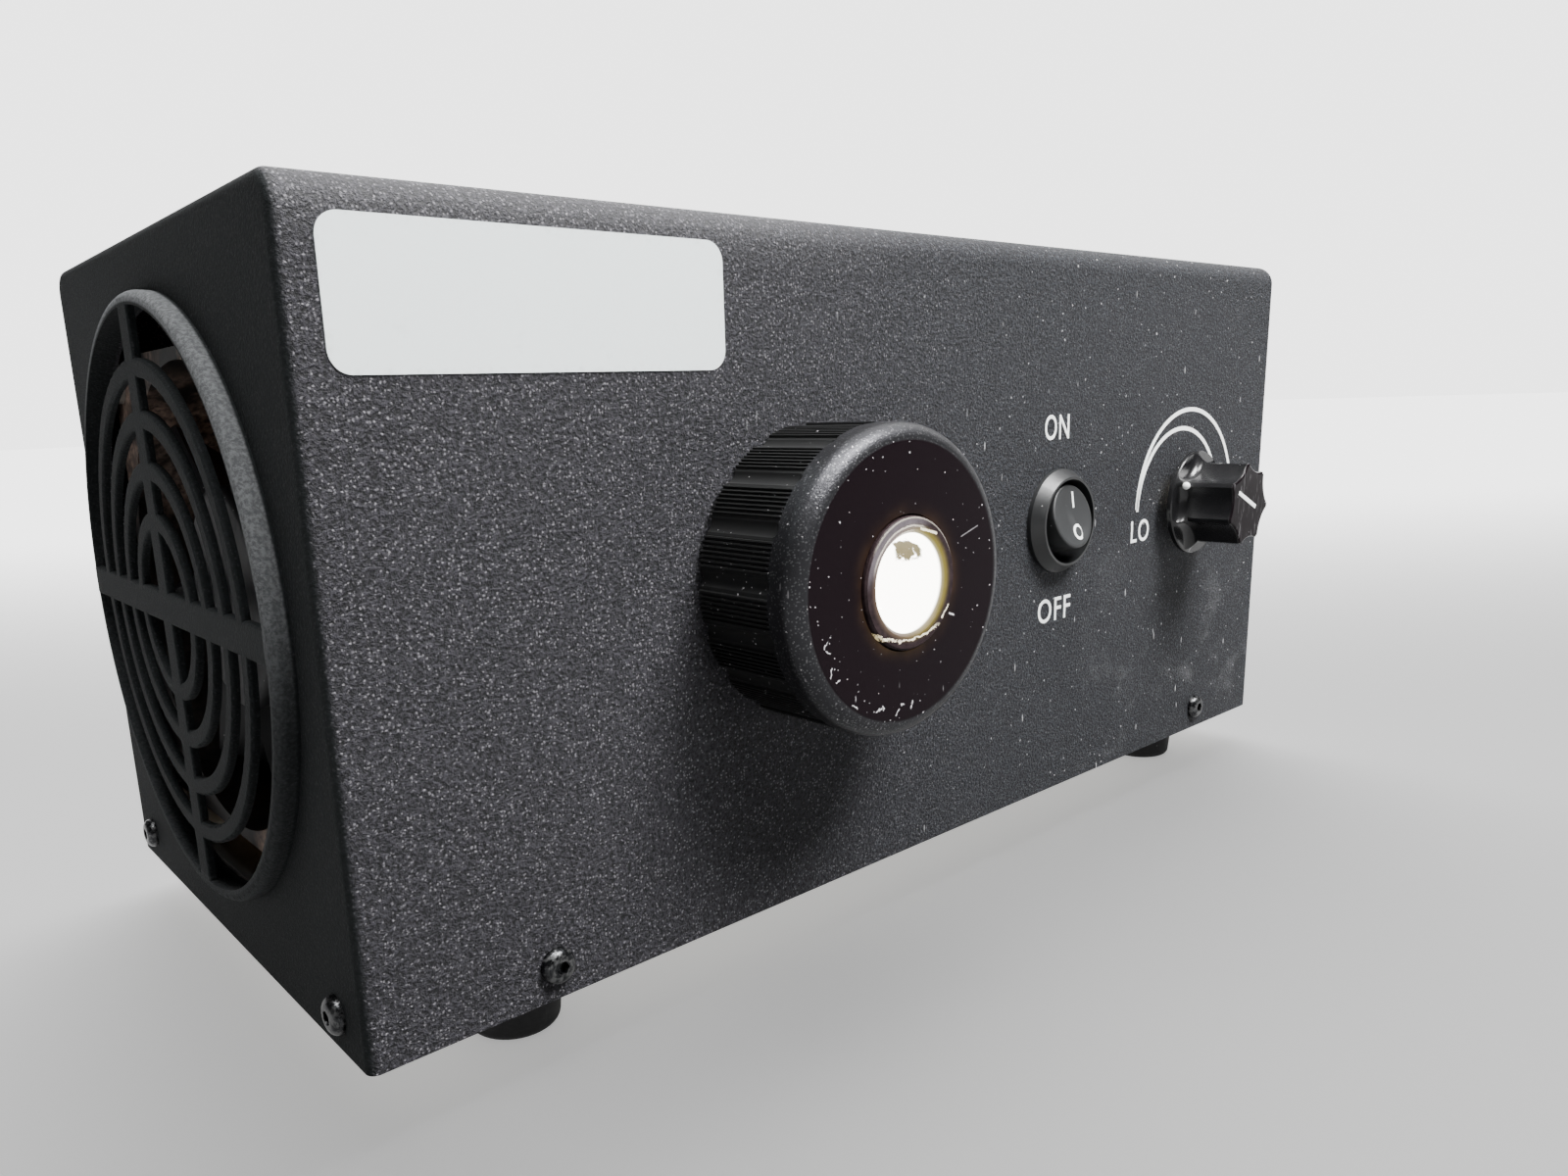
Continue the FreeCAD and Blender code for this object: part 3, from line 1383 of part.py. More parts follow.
board_top = board_bottom + seat_gap + board_thickness
block_middle_y = board_y - board_depth / 2 + terminal_block_inset + terminal_block_depth / 2
terminal_block_pitch = terminal_block_width / terminal_block_ways


def dimmer_board():
    board = box(board_x - board_width / 2, board_x + board_width / 2, board_y - board_depth / 2,
                board_y + board_depth / 2, board_bottom + seat_gap, board_top)
    holes = [rod_z(x, y, m3_radius + hole_gap, board_bottom - past, board_top + past)
             for x, y in board_corners()]
    return board.cut(Part.makeCompound(holes))


def board_standoffs():
    """Hexagonal pillars with a stud into the base plate and a tapped top."""
    pillars = []
    for x, y in board_corners():
        pillar = hex_prism(2 * standoff_radius, V(x, y, plate_top + seat_gap), V(0, 0, 1),
                           standoff_height)
        stud = rod_z(x, y, m3_radius, plate_top - standoff_stud, plate_top + past)
        tapped = rod_z(x, y, m3_radius + thread_gap, board_bottom - standoff_tap, board_bottom + past)
        pillars.append(pillar.fuse(stud).cut(tapped))
    return pillars


def board_screws():
    return [pan_screw(V(x, y, board_top + seat_gap), V(0, 0, 1), board_thickness + board_screw_bite)
            for x, y in board_corners()]


def triac_heatsink():
    """The finned heatsink with the triac on its face."""
    y0 = board_y + board_depth / 2 - sink_setback - sink_depth
    x0 = board_x - sink_width / 2
    z0 = board_top + seat_gap
    base = box(x0, x0 + sink_width, y0, y0 + sink_base, z0, z0 + sink_height)
    pitch = (sink_width - sink_fin) / (sink_fins - 1)
    fins = [box(x0 + i * pitch, x0 + i * pitch + sink_fin, y0 + sink_base / 2, y0 + sink_depth,
                z0, z0 + sink_height) for i in range(sink_fins)]
    triac = box(board_x - triac_width / 2, board_x + triac_width / 2, y0 - triac_thickness, y0,
                z0 + triac_rise, z0 + triac_rise + triac_height)
    return base.multiFuse(fins + [triac])


def filter_choke():
    """The toroidal choke, standing on its rim along the board's width."""
    y = board_y + choke_offset
    z = board_top + seat_gap + choke_radius + choke_tube
    return Part.makeTorus(choke_radius, choke_tube, V(board_x, y, z), V(0, 1, 0))


def film_capacitor():
    x = board_x + capacitor_offset_x
    y = board_y + capacitor_offset_y
    return rounded_box(x - capacitor_width / 2, x + capacitor_width / 2, y - capacitor_depth / 2,
                       y + capacitor_depth / 2, board_top + seat_gap,
                       board_top + seat_gap + capacitor_height, capacitor_corner, 2)


def terminal_block():
    x0 = board_x - terminal_block_width / 2
    y0 = block_middle_y - terminal_block_depth / 2
    z0 = board_top + seat_gap
    block = box(x0, x0 + terminal_block_width, y0, y0 + terminal_block_depth, z0,
                z0 + terminal_block_height)
    wells = [rod_z(x, block_middle_y, terminal_block_pitch * terminal_well_share,
                   z0 + terminal_block_height - terminal_well_depth, z0 + terminal_block_height + past)
             for x in terminal_well_places()]
    return block.cut(Part.makeCompound(wells))


def terminal_well_places():
    return [board_x + (i - (terminal_block_ways - 1) / 2) * terminal_block_pitch
            for i in range(terminal_block_ways)]


# ---------------------------------------------------------------- mains inlet
flange_rear = rear + inlet_flange
plug_z = inlet_z + inlet_body_height / 2 - plug_wall - plug_height / 2
drawer_z = inlet_z - inlet_body_height / 2 + drawer_margin + drawer_height / 2


def inlet_body():
    """The appliance inlet: flange, body, plug recess and the well of the fuse drawer."""
    half_width = inlet_flange_width / 2
    half_height = inlet_flange_height / 2
    flange = rounded_box(inlet_x - half_width, inlet_x + half_width, rear, flange_rear,
                         inlet_z - half_height, inlet_z + half_height, inlet_corner, 1)
    body = inlet_cutout(0, flange_rear - inlet_flange - inlet_body_depth, rear + past)
    recess = rounded_box(inlet_x - plug_width / 2, inlet_x + plug_width / 2, flange_rear - plug_depth,
                         flange_rear + past, plug_z - plug_height / 2, plug_z + plug_height / 2,
                         plug_corner, 1)
    well = box(inlet_x - drawer_width / 2 - free_gap, inlet_x + drawer_width / 2 + free_gap,
               flange_rear - drawer_depth - 1.0, flange_rear + past, drawer_z - drawer_height / 2 - free_gap,
               drawer_z + drawer_height / 2 + free_gap)
    cuts = [recess, well]
    for side in (-1, 1):
        x = inlet_x + side * inlet_screw_pitch / 2
        cuts.append(rod_y(x, inlet_z, m3_radius + hole_gap, rear - past, flange_rear + past))
        cuts.append(Part.makeCone(m3_radius + hole_gap, pan_head_radius + hole_gap, pan_head_height,
                                  V(x, flange_rear - pan_head_height, inlet_z), V(0, 1, 0)))
    for x, z in blade_places():
        cuts.append(box(x - blade_thickness / 2 - seat_gap, x + blade_thickness / 2 + seat_gap,
                        rear - inlet_body_depth - past, rear, z - blade_width / 2 - seat_gap,
                        z + blade_width / 2 + seat_gap))
    return flange.fuse(body).cut(Part.makeCompound(cuts)).removeSplitter()


def blade_places():
    return [(inlet_x - blade_spacing, plug_z - earth_offset), (inlet_x, plug_z + earth_offset),
            (inlet_x + blade_spacing, plug_z - earth_offset)]


def inlet_blades():
    return [box(x - blade_thickness / 2, x + blade_thickness / 2, rear - inlet_body_depth - blade_tail,
                flange_rear - plug_setback, z - blade_width / 2, z + blade_width / 2)
            for x, z in blade_places()]


def inlet_screws():
    """Countersunk screws, flush with the inlet's flange."""
    screws = []
    for side in (-1, 1):
        x = inlet_x + side * inlet_screw_pitch / 2
        head = Part.makeCone(m3_radius, pan_head_radius, pan_head_height - plate_gap,
                             V(x, flange_rear - pan_head_height, inlet_z), V(0, 1, 0))
        shank = rod_y(x, inlet_z, m3_radius, rear_in - inlet_screw_past, flange_rear - pan_head_height)
        slot = box(x - pan_head_radius - past, x + pan_head_radius + past,
                   flange_rear - pan_head_height * slot_share, flange_rear + past,
                   inlet_z - inlet_slot_width / 2, inlet_z + inlet_slot_width / 2)
        screws.append(head.fuse(shank).cut(slot))
    return screws


def fuse_drawer():
    """The pull-out fuse drawer: face, floor and walls round the working and the spare fuse."""
    half_width = drawer_width / 2
    half_height = drawer_height / 2
    y0 = flange_rear - drawer_depth
    body = box(inlet_x - half_width, inlet_x + half_width, y0, flange_rear,
               drawer_z - half_height, drawer_z + half_height)
    face = rounded_box(inlet_x - half_width, inlet_x + half_width, flange_rear - past,
                       flange_rear + drawer_lip, drawer_z - half_height, drawer_z + half_height,
                       drawer_corner, 1)
    finger_notch = rod_x(flange_rear + drawer_lip + notch_lift, drawer_z + half_height, notch_radius,
                         inlet_x - notch_length / 2, inlet_x + notch_length / 2)
    tray = box(inlet_x - half_width + drawer_wall, inlet_x + half_width - drawer_wall,
               y0 + drawer_wall, flange_rear - drawer_face_wall, drawer_z - half_height + drawer_wall,
               drawer_z + half_height + past)
    return body.fuse(face).cut(finger_notch).cut(tray)


def fuses():
    y0 = flange_rear - drawer_depth + drawer_wall + free_gap
    z = drawer_z - drawer_height / 2 + drawer_wall + fuse_radius + fuse_rest
    return [rod_y(inlet_x + side * (fuse_radius + fuse_spread), z, fuse_radius, y0, y0 + fuse_length)
            for side in (-1, 1)]


# ---------------------------------------------------------------- wiring
def lead(points, bend):
    """An insulated lead along straight runs joined by tangent arcs."""
    edges = []
    start = points[0]
    for before, corner, after in zip(points, points[1:], points[2:]):
        back = (before - corner).normalize()
        onward = (after - corner).normalize()
        half = back.getAngle(onward) / 2
        inward = (back + onward).normalize()
        centre = corner + inward * (bend / math.sin(half))
        run_end = corner + back * (bend / math.tan(half))
        arc_end = corner + onward * (bend / math.tan(half))
        edges.append(Part.LineSegment(start, run_end).toShape())
        edges.append(Part.Arc(run_end, centre - inward * bend, arc_end).toShape())
        start = arc_end
    edges.append(Part.LineSegment(start, points[-1]).toShape())
    section = Part.Wire([Part.makeCircle(lead_radius, points[0], points[1] - points[0])])
    return Part.Wire(edges).makePipeShell([section], True, False)


def wiring_leads():
    """Lamp leads to the transformer, mains leads to the switch, dimmer leads to the board."""
    leads = []
    socket_y = (socket_front + socket_rear) / 2
    socket_top = guide_z + socket_height / 2 + seat_gap
    coil_y = transformer_y + core_stack / 2 + coil_overhang / 2
    coil_top = core_bottom + core_height - core_leg - free_gap + seat_gap
    for side in (-1, 1):
        x = guide_x + side * lamp_lead_spread
        coil_x = transformer_x + side * core_leg / 2
        height = lead_height - side * 2 * lead_radius
        end_y = coil_y - side * lead_radius
        leads.append(lead([V(x, socket_y, socket_top), V(x, socket_y, height),
                           V(coil_x, end_y, height), V(coil_x, end_y, coil_top)], lead_bend))
    tail = rear - inlet_body_depth - blade_tail - seat_gap
    terminal_end = front + switch_body_depth + terminal_length + seat_gap
    turn_y = terminal_end + lead_run
    for (x, z), level in zip((blade_places()[0], blade_places()[2]), terminal_levels()[1:]):
        turn_y += 4 * lead_radius
        leads.append(lead([V(x, tail, z), V(x, turn_y, z), V(switch_x, turn_y, switch_z + level),
                           V(switch_x, terminal_end, switch_z + level)], lead_small_bend))
    tab_end = dimmer_z - pot_radius - pot_tab_length - seat_gap
    tab_y = front_in + pot_depth - pot_tab_setback + pot_tab_thickness / 2
    block_top = board_top + terminal_block_height + 2 * seat_gap
    middle_z = (tab_end + block_top) / 2
    wells = terminal_well_places()
    for side, block_x in ((-1, wells[0]), (1, wells[-1])):
        x = dimmer_x + side * pot_tab_pitch
        leads.append(lead([V(x, tab_y, tab_end), V(x, tab_y, middle_z),
                           V(block_x, block_middle_y, middle_z), V(block_x, block_middle_y, block_top)],
                          lead_small_bend))
    return leads


# ---------------------------------------------------------------- write every node
NODES = {
    "cover": cover,
    "base_plate": base_plate,
    "front_label": front_label,
    "rubber_feet": rubber_feet,
    "foot_screws": foot_screws,
    "foot_nuts": foot_nuts,
    "cover_screws": cover_screws,
    "nose_tube": nose_tube,
    "nose_nut": nose_nut,
    "heat_glass": heat_glass,
    "glass_retainer": glass_retainer,
    "guide_collet": guide_collet,
    "thrust_washer": thrust_washer,
    "retaining_clip": retaining_clip,
    "clamp_knob": clamp_knob,
    "lamp_reflector": lamp_reflector,
    "lamp_capsule": lamp_capsule,
    "lamp_base": lamp_base,
    "lamp_socket": lamp_socket,
    "socket_screws": socket_screws,
    "socket_bracket": socket_bracket,
    "lamp_holder": lamp_holder,
    "lamp_clips": lamp_clips,
    "clip_screws": clip_screws,
    "bracket_screws": bracket_screws,
    "heat_shield": heat_shield,
    "thermal_cutout": thermal_cutout,
    "fan_frame": fan_frame,
    "fan_bearing": fan_bearing,
    "fan_stator": fan_stator,
    "fan_impeller": fan_impeller,
    "fan_shaft": fan_shaft,
    "fan_bracket": fan_bracket,
    "fan_screws": fan_screws,
    "fan_nuts": fan_nuts,
    "switch_housing": switch_housing,
    "switch_terminals": switch_terminals,
    "switch_rocker": switch_rocker,
    "potentiometer": potentiometer,
    "bushing_nut": bushing_nut,
    "dimmer_shaft": dimmer_shaft,
    "dimmer_knob": dimmer_knob,
    "dimmer_set_screw": dimmer_set_screw,
    "transformer_core": transformer_core,
    "transformer_coil": transformer_coil,
    "transformer_brackets": transformer_brackets,
    "core_rivets": core_rivets,
    "dimmer_board": dimmer_board,
    "board_standoffs": board_standoffs,
    "board_screws": board_screws,
    "triac_heatsink": triac_heatsink,
    "filter_choke": filter_choke,
    "film_capacitor": film_capacitor,
    "terminal_block": terminal_block,
    "inlet_body": inlet_body,
    "inlet_blades": inlet_blades,
    "inlet_screws": inlet_screws,
    "fuse_drawer": fuse_drawer,
    "fuses": fuses,
    "wiring_leads": wiring_leads,
}

os.makedirs("parts", exist_ok=True)
for node, make in NODES.items():
    made = make()
    shape = Part.makeCompound(made) if isinstance(made, list) else made
    shape.exportStep("parts/" + node + ".step")
    print(node, len(shape.Solids), "solids", round(shape.Volume, 1), "mm3", shape.isValid())
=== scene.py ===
import json
import math

import bpy
from bpy.props import FloatProperty, FloatVectorProperty, PointerProperty
from mathutils import Matrix, Vector


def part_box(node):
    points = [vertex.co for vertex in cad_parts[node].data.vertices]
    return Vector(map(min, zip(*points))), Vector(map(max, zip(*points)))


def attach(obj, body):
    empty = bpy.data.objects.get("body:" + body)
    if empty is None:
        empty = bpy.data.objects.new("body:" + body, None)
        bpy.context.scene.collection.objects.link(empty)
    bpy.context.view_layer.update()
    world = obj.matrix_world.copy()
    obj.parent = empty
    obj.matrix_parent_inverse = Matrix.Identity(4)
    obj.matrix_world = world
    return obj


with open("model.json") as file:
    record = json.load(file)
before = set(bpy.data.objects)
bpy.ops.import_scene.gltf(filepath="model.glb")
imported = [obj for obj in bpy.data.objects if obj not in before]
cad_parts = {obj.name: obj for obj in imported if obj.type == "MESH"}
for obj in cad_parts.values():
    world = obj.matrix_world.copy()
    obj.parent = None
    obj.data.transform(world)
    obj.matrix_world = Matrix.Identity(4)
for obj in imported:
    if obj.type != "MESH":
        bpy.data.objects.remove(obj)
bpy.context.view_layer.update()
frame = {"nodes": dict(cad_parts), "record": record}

bl_info = {
    "name": "Fiber Optic Illuminator",
    "version": (1, 0, 0),
    "blender": (4, 5, 0),
    "location": "3D View > Sidebar > Illuminator",
    "description": "Finishes the packed illuminator, letters its panel and sets up its studio",
    "category": "Add Mesh",
}

MM = 0.001
GUARD_RISE = 3.0 * MM  # how far the fan guard is drawn out of the case's left end


# -------------------- places read from the solids
def middle(node):
    low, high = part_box(node)
    return (low + high) / 2


def front_of(node):
    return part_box(node)[0].y


GUIDE = middle("clamp_knob")
SWITCH = middle("switch_housing")
DIMMER = middle("dimmer_knob")
FAN = middle("fan_impeller")
CASE_LOW, CASE_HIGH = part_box("cover")
LEFT = CASE_LOW.x + GUARD_RISE
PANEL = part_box("nose_nut")[1].y  # the nut bears on the panel's front face
KNOB_FACE = front_of("clamp_knob")
DIMMER_FACE = front_of("dimmer_knob")
KNOB_FLAT_RADIUS = 21.9 * MM
KNOB_SHOULDER = 5.9 * MM  # how far back from the face the shoulder reaches
BORE_RADIUS = 7.8 * MM
TUBE_RADIUS = 12.6 * MM
GUARD_RIM_RADIUS = 45.9 * MM
BLACK = (0.0, 0.0, 0.0)


# -------------------- sizes and colours
def length(name, description, default):
    return FloatProperty(name=name, description=description, default=default, min=0.0,
                         unit="LENGTH", subtype="DISTANCE", precision=5)


def point(name, description, default):
    return FloatVectorProperty(name=name, description=description, default=default,
                               size=len(default), subtype="TRANSLATION", unit="LENGTH")


def bearing(name, description, degrees):
    return FloatProperty(name=name, description=description, default=math.radians(degrees),
                         unit="ROTATION", subtype="ANGLE")


def colour(name, description, default):
    return FloatVectorProperty(name=name, description=description, default=default, size=3,
                               min=0.0, max=1.0, subtype="COLOR")


def level(name, description, default, unit="NONE"):
    return FloatProperty(name=name, description=description, default=default, min=0.0, unit=unit)


class PanelInk(bpy.types.PropertyGroup):
    """Sizes of the white markings printed on the front panel."""
    letter_height: length("Letter height", "Height of the ON, OFF, LO and HI letters", 5.2 * MM)
    ink: length("Ink thickness", "How far the ink stands off the paint", 0.06 * MM)
    on_place: point("ON place", "From the switch's middle to the word ON", (-0.9 * MM, 19.05 * MM))
    on_width: length("ON width", "Width of the word ON", 8.7 * MM)
    off_place: point("OFF place", "From the switch's middle to the word OFF",
                     (-0.2 * MM, -19.1 * MM))
    off_width: length("OFF width", "Width of the word OFF", 12.0 * MM)
    lo_place: point("LO place", "From the dimmer's middle to the word LO", (-19.2 * MM, -5.4 * MM))
    lo_width: length("LO width", "Width of the word LO", 7.7 * MM)
    hi_place: point("HI place", "From the dimmer's middle to the word HI", (20.4 * MM, -5.6 * MM))
    hi_width: length("HI width", "Width of the word HI", 6.4 * MM)
    stroke: length("Stroke width", "Width of the two dial strokes", 0.95 * MM)
    outer_radius: length("Outer stroke radius", "Radius of the outer dial stroke", 22.45 * MM)
    outer_place: point("Outer stroke middle", "From the dimmer's middle to the outer stroke's",
                       (1.35 * MM, -0.9 * MM))
    inner_radius: length("Inner stroke radius", "Radius of the inner dial stroke", 18.6 * MM)
    inner_place: point("Inner stroke middle", "From the dimmer's middle to the inner stroke's",
                       (-2.1 * MM, -1.3 * MM))
    dial_start: bearing("Dial start", "How far above the left the strokes start", 2.0)
    dial_sweep: bearing("Dial sweep", "How far round the strokes go, clockwise", 176.0)


class ControlMarks(bpy.types.PropertyGroup):
    """Sizes of the marks on the rocker and on the dimmer's knob."""
    mark_height: length("Mark height", "Height of the I and O marks on the rocker", 3.4 * MM)
    mark_line: length("Mark line", "Line width of the I and O marks", 0.62 * MM)
    mark_depth: length("Mark depth", "How thick the inlay of each mark is", 0.2 * MM)
    mark_offset: length("Mark offset", "From the middle of the rocker to each mark", 3.4 * MM)
    mark_aside: length("Mark aside", "How far right of the rocker's middle the marks are", 1.3 * MM)
    dish_depth: length("Dish depth", "How deep the rocker's face is dished", 0.55 * MM)
    dish_radius: length("Dish radius", "Radius of the sphere that dishes the face", 33.0 * MM)
    rocker_rise: length("Rocker rise", "From the rocker's axis to the rim of its face", 5.0 * MM)
    pointer_length: length("Pointer length", "Length of the line on the knob's face", 9.4 * MM)
    pointer_start: length("Pointer start", "How far the line passes the knob's middle", 3.3 * MM)
    pointer_width: length("Pointer width", "Width of the white line on the knob's face", 0.95 * MM)
    pointer_depth: length("Pointer depth", "How thick the inlay of the line is", 0.12 * MM)
    pointer_rise: length("Pointer rise", "From the face out to the middle of the inlay", 0.02 * MM)
    pointer_aside: length("Pointer aside", "From the knob's middle across to the line", 0.6 * MM)
    pointer_angle: bearing("Pointer angle", "Direction of the line at rest", 156.0)
    dot_radius: length("Dot radius", "Radius of the white dot on the knob's skirt", 0.85 * MM)
    dot_reach: length("Dot reach", "From the knob's middle out to the dot", 10.0 * MM)
    dot_setback: length("Dot setback", "From the knob's face back to the dot", 10.6 * MM)
    dot_angle: bearing("Dot angle", "Direction of the dot at rest", 153.0)


class Finishes(bpy.types.PropertyGroup):
    """Base colours of the main finishes."""
    coat: colour("Powder coat", "Textured paint of the case", (0.0150, 0.0148, 0.0166))
    label: colour("Label", "Blank vinyl label", (0.80, 0.86, 0.86))
    knob: colour("Knob", "Moulded grip of the clamp knob", (0.0110, 0.0112, 0.0112))
    gloss: colour("Gloss plastic", "Dimmer knob", (0.0055, 0.0055, 0.006))
    rocker: colour("Switch plastic", "Rocker and its bezel", (0.0105, 0.0110, 0.0115))
    white: colour("Ink", "White ink of the markings", (0.95, 0.97, 0.95))
    glow: colour("Lamp light", "Light inside the bore", (1.0, 0.97, 0.88))


class Studio(bpy.types.PropertyGroup):
    """Camera, lights, floor and backdrop."""
    eye: point("Camera place", "Where the camera stands", (-0.172335, -0.180030, 0.095580))
    look: FloatVectorProperty(name="Camera angles", description="How the camera is turned", size=3,
                              default=tuple(math.radians(a) for a in (77.3239, 2.1152, -40.3723)),
                              subtype="EULER", unit="ROTATION")
    lens: level("Lens", "Focal length on a 36 mm wide sensor", 25.447)
    shift: FloatVectorProperty(name="Shift", description="Lens shift, as a share of the frame",
                               size=2, default=(0.0428, 0.0406))
    floor_size: length("Floor size", "Side of the square floor", 12.0)
    floor_glow: level("Floor glow", "Brightness of the floor far behind the object", 2.8)
    backdrop: level("Backdrop", "Brightness of the white backdrop", 3.2)
    dim: level("Dim side", "Brightness of the rest of the room", 0.12)
    overhead: level("Overhead", "Power of the overhead light", 9.0, "POWER")
    overhead_place: point("Overhead place", "Where the overhead light hangs", (-0.17, -0.14, 0.80))
    overhead_aim: point("Overhead aim", "Where the overhead light points", (-0.04, -0.06, 0.06))
    overhead_size: point("Overhead size", "Sides of the overhead light", (0.26, 0.22))
    key: level("Key", "Power of the key light", 24.0, "POWER")
    key_place: point("Key place", "Where the key light hangs", (0.148, -0.42, 0.71))
    key_aim: point("Key aim", "Where the key light points", (0.02, -0.06, 0.067))
    key_size: point("Key size", "Sides of the key light", (0.32, 0.30))


# -------------------- shader writing
class Wire:
    """A socket of a graph, so that sums on it read as plain Python."""

    def __init__(self, graph, socket):
        self.graph = graph
        self.socket = socket

    def _sum(self, operation, *values, clamp=False):
        return self.graph.add("ShaderNodeMath", {"operation": operation, "use_clamp": clamp},
                              dict(enumerate(values)))[0]

    def __add__(self, other):
        return self._sum("ADD", self, other)

    def __radd__(self, other):
        return self._sum("ADD", other, self)

    def __sub__(self, other):
        return self._sum("SUBTRACT", self, other)

    def __rsub__(self, other):
        return self._sum("SUBTRACT", other, self)

    def __mul__(self, other):
        return self._sum("MULTIPLY", self, other)

    def __rmul__(self, other):
        return self._sum("MULTIPLY", other, self)

    def __truediv__(self, other):
        return self._sum("DIVIDE", self, other)

    def __gt__(self, other):
        return self._sum("GREATER_THAN", self, other)

    def __lt__(self, other):
        return self._sum("LESS_THAN", self, other)

    def __abs__(self):
        return self._sum("ABSOLUTE", self)

    def sqrt(self):
        return self._sum("SQRT", self)

    def most(self, other):
        return self._sum("MAXIMUM", self, other)

    def capped(self):
        """Held between 0 and 1."""
        return self._sum("ADD", self, 0.0, clamp=True)

    def hypot(self, other):
        """The long side of a right triangle whose short sides are this and other."""
        return (self * self + other * other).sqrt()


class Added:
    """The outputs of one node, by number or name."""

    def __init__(self, graph, node):
        self.graph = graph
        self.node = node

    def __getitem__(self, key):
        return Wire(self.graph, self.node.outputs[key])


class Graph:
    """A node tree, written as expressions on wires."""

    def __init__(self, tree, coordinates):
        self.tree = tree
        self.place = self.add("ShaderNodeTexCoord")[coordinates]

    def add(self, kind, settings=None, inputs=None):
        """A new node, with settings by name and inputs by number or name."""
        node = self.tree.nodes.new(kind)
        for key, value in (settings or {}).items():
            setattr(node, key, value)
        for key, value in (inputs or {}).items():
            self.join(node.inputs[key], value)
        return Added(self, node)

    def join(self, socket, value):
        """Link a wire to a socket, or set the socket to a number or colour."""
        if isinstance(value, Wire):
            self.tree.links.new(value.socket, socket)
        elif socket.type == "RGBA":
            socket.default_value = (tuple(value) + (1.0,))[:4]
        else:
            socket.default_value = value

    def axes(self, place=None):
        split = self.add("ShaderNodeSeparateXYZ", None, {0: place or self.place})
        return split[0], split[1], split[2]

    def step(self, value, start, end, low=0.0, high=1.0):
        """A smooth rise of value from low at start to high at end."""
        return self.add("ShaderNodeMapRange", {"interpolation_type": "SMOOTHSTEP"},
                        {0: value, 1: start, 2: end, 3: low, 4: high})[0]

    def band(self, value, edge, core):
        """1 where value is within core of 0, falling smoothly to 0 at edge."""
        return self.step(abs(value), edge, core)


class Finish(Graph):
    """One material."""

    def __init__(self, name):
        self.material = bpy.data.materials.new(name)
        self.material.use_nodes = True
        super().__init__(self.material.node_tree, "Object")
        self.surface = self.tree.nodes["Principled BSDF"]

    def set(self, **values):
        """Principled inputs by name, with spaces written as underscores."""
        for key, value in values.items():
            self.join(self.surface.inputs[key.replace("_", " ")], value)

    def around_guide(self):
        """Places across, along and up from the light guide's axis, and the distance from it."""
        x, y, z = self.axes()
        across = x - GUIDE.x
        up = z - GUIDE.z
        return across, y, up, across.hypot(up)

    def moved(self, rotation=(0, 0, 0), scale=(1, 1, 1)):
        """Object coordinates turned and stretched."""
        return self.add("ShaderNodeMapping", None, {"Vector": self.place, "Rotation": rotation,
                                                     "Scale": scale})[0]

    def noise(self, size, detail=2.0, rough=0.5, place=None, warp=0.0):
        """Noise whose blotches are about size metres across, from 0 to 1."""
        return self.add("ShaderNodeTexNoise", None,
                        {"Vector": place or self.place, "Scale": 1.0 / size, "Detail": detail,
                         "Roughness": rough, "Distortion": warp})["Fac"]

    def cells(self, size, place=None):
        """Distance from the nearest of points about size apart, and that point's random number."""
        node = self.add("ShaderNodeTexVoronoi", {"feature": "F1"},
                        {"Vector": place or self.place, "Scale": 1.0 / size, "Randomness": 1.0})
        return node["Distance"], self.axes(node["Color"])[0]

    def blend(self, share, first, second):
        """The first colour where share is 0 and the second where it is 1."""
        return self.add("ShaderNodeMix", {"data_type": "RGBA", "blend_type": "MIX"},
                        {0: share, 6: first, 7: second})[2]

    def bump(self, height, strength, distance):
        """A normal that leans as if the surface rose by height times distance."""
        return self.add("ShaderNodeBump", None, {"Height": height, "Strength": strength,
                                                  "Distance": distance})["Normal"]

    def torn(self, size, amount):
        """Object coordinates pushed about by noise, which tears the outline of a spot."""
        push = self.add("ShaderNodeTexNoise", None, {"Vector": self.place, "Scale": 1.0 / size,
                                                      "Detail": 3.0})["Color"]
        return self.add("ShaderNodeVectorMath", {"operation": "MULTIPLY_ADD"},
                        {0: push, 1: (amount, amount, amount), 2: self.place})["Vector"]

    def near_line(self, across, up, start, end, wide):
        """A mark along the straight line from start to end, wide on each side."""
        run = (end[0] - start[0], end[1] - start[1])
        run_squared = run[0] ** 2 + run[1] ** 2
        share = (((across - start[0]) * run[0] + (up - start[1]) * run[1]) / run_squared).capped()
        aside = across - start[0] - share * run[0]
        above = up - start[1] - share * run[1]
        return self.step(aside.hypot(above), wide, wide * 0.4)

    def specks(self, size, radius, share, place=None):
        """Small spots on a share of the cells of a pattern."""
        distance, lot = self.cells(size, place)
        return self.step(distance, radius, radius * 0.45) * (lot < share)

    def lint(self, size, radius, share, turn):
        """Short fibres lying one way."""
        stretched = self.moved(rotation=(0.3, turn, 0.2), scale=(1.0, 1.0, 0.22))
        return self.specks(size, radius, share, stretched)

    def give(self, *nodes):
        """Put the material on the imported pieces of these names."""
        for node in nodes:
            data = frame["nodes"][node].data
            data.materials.clear()
            data.materials.append(self.material)


def shaded(tone, shares):
    """A colour with its channels multiplied by one share or by three."""
    if isinstance(shares, float):
        shares = (shares,) * 3
    return tuple(channel * share for channel, share in zip(tone, shares))


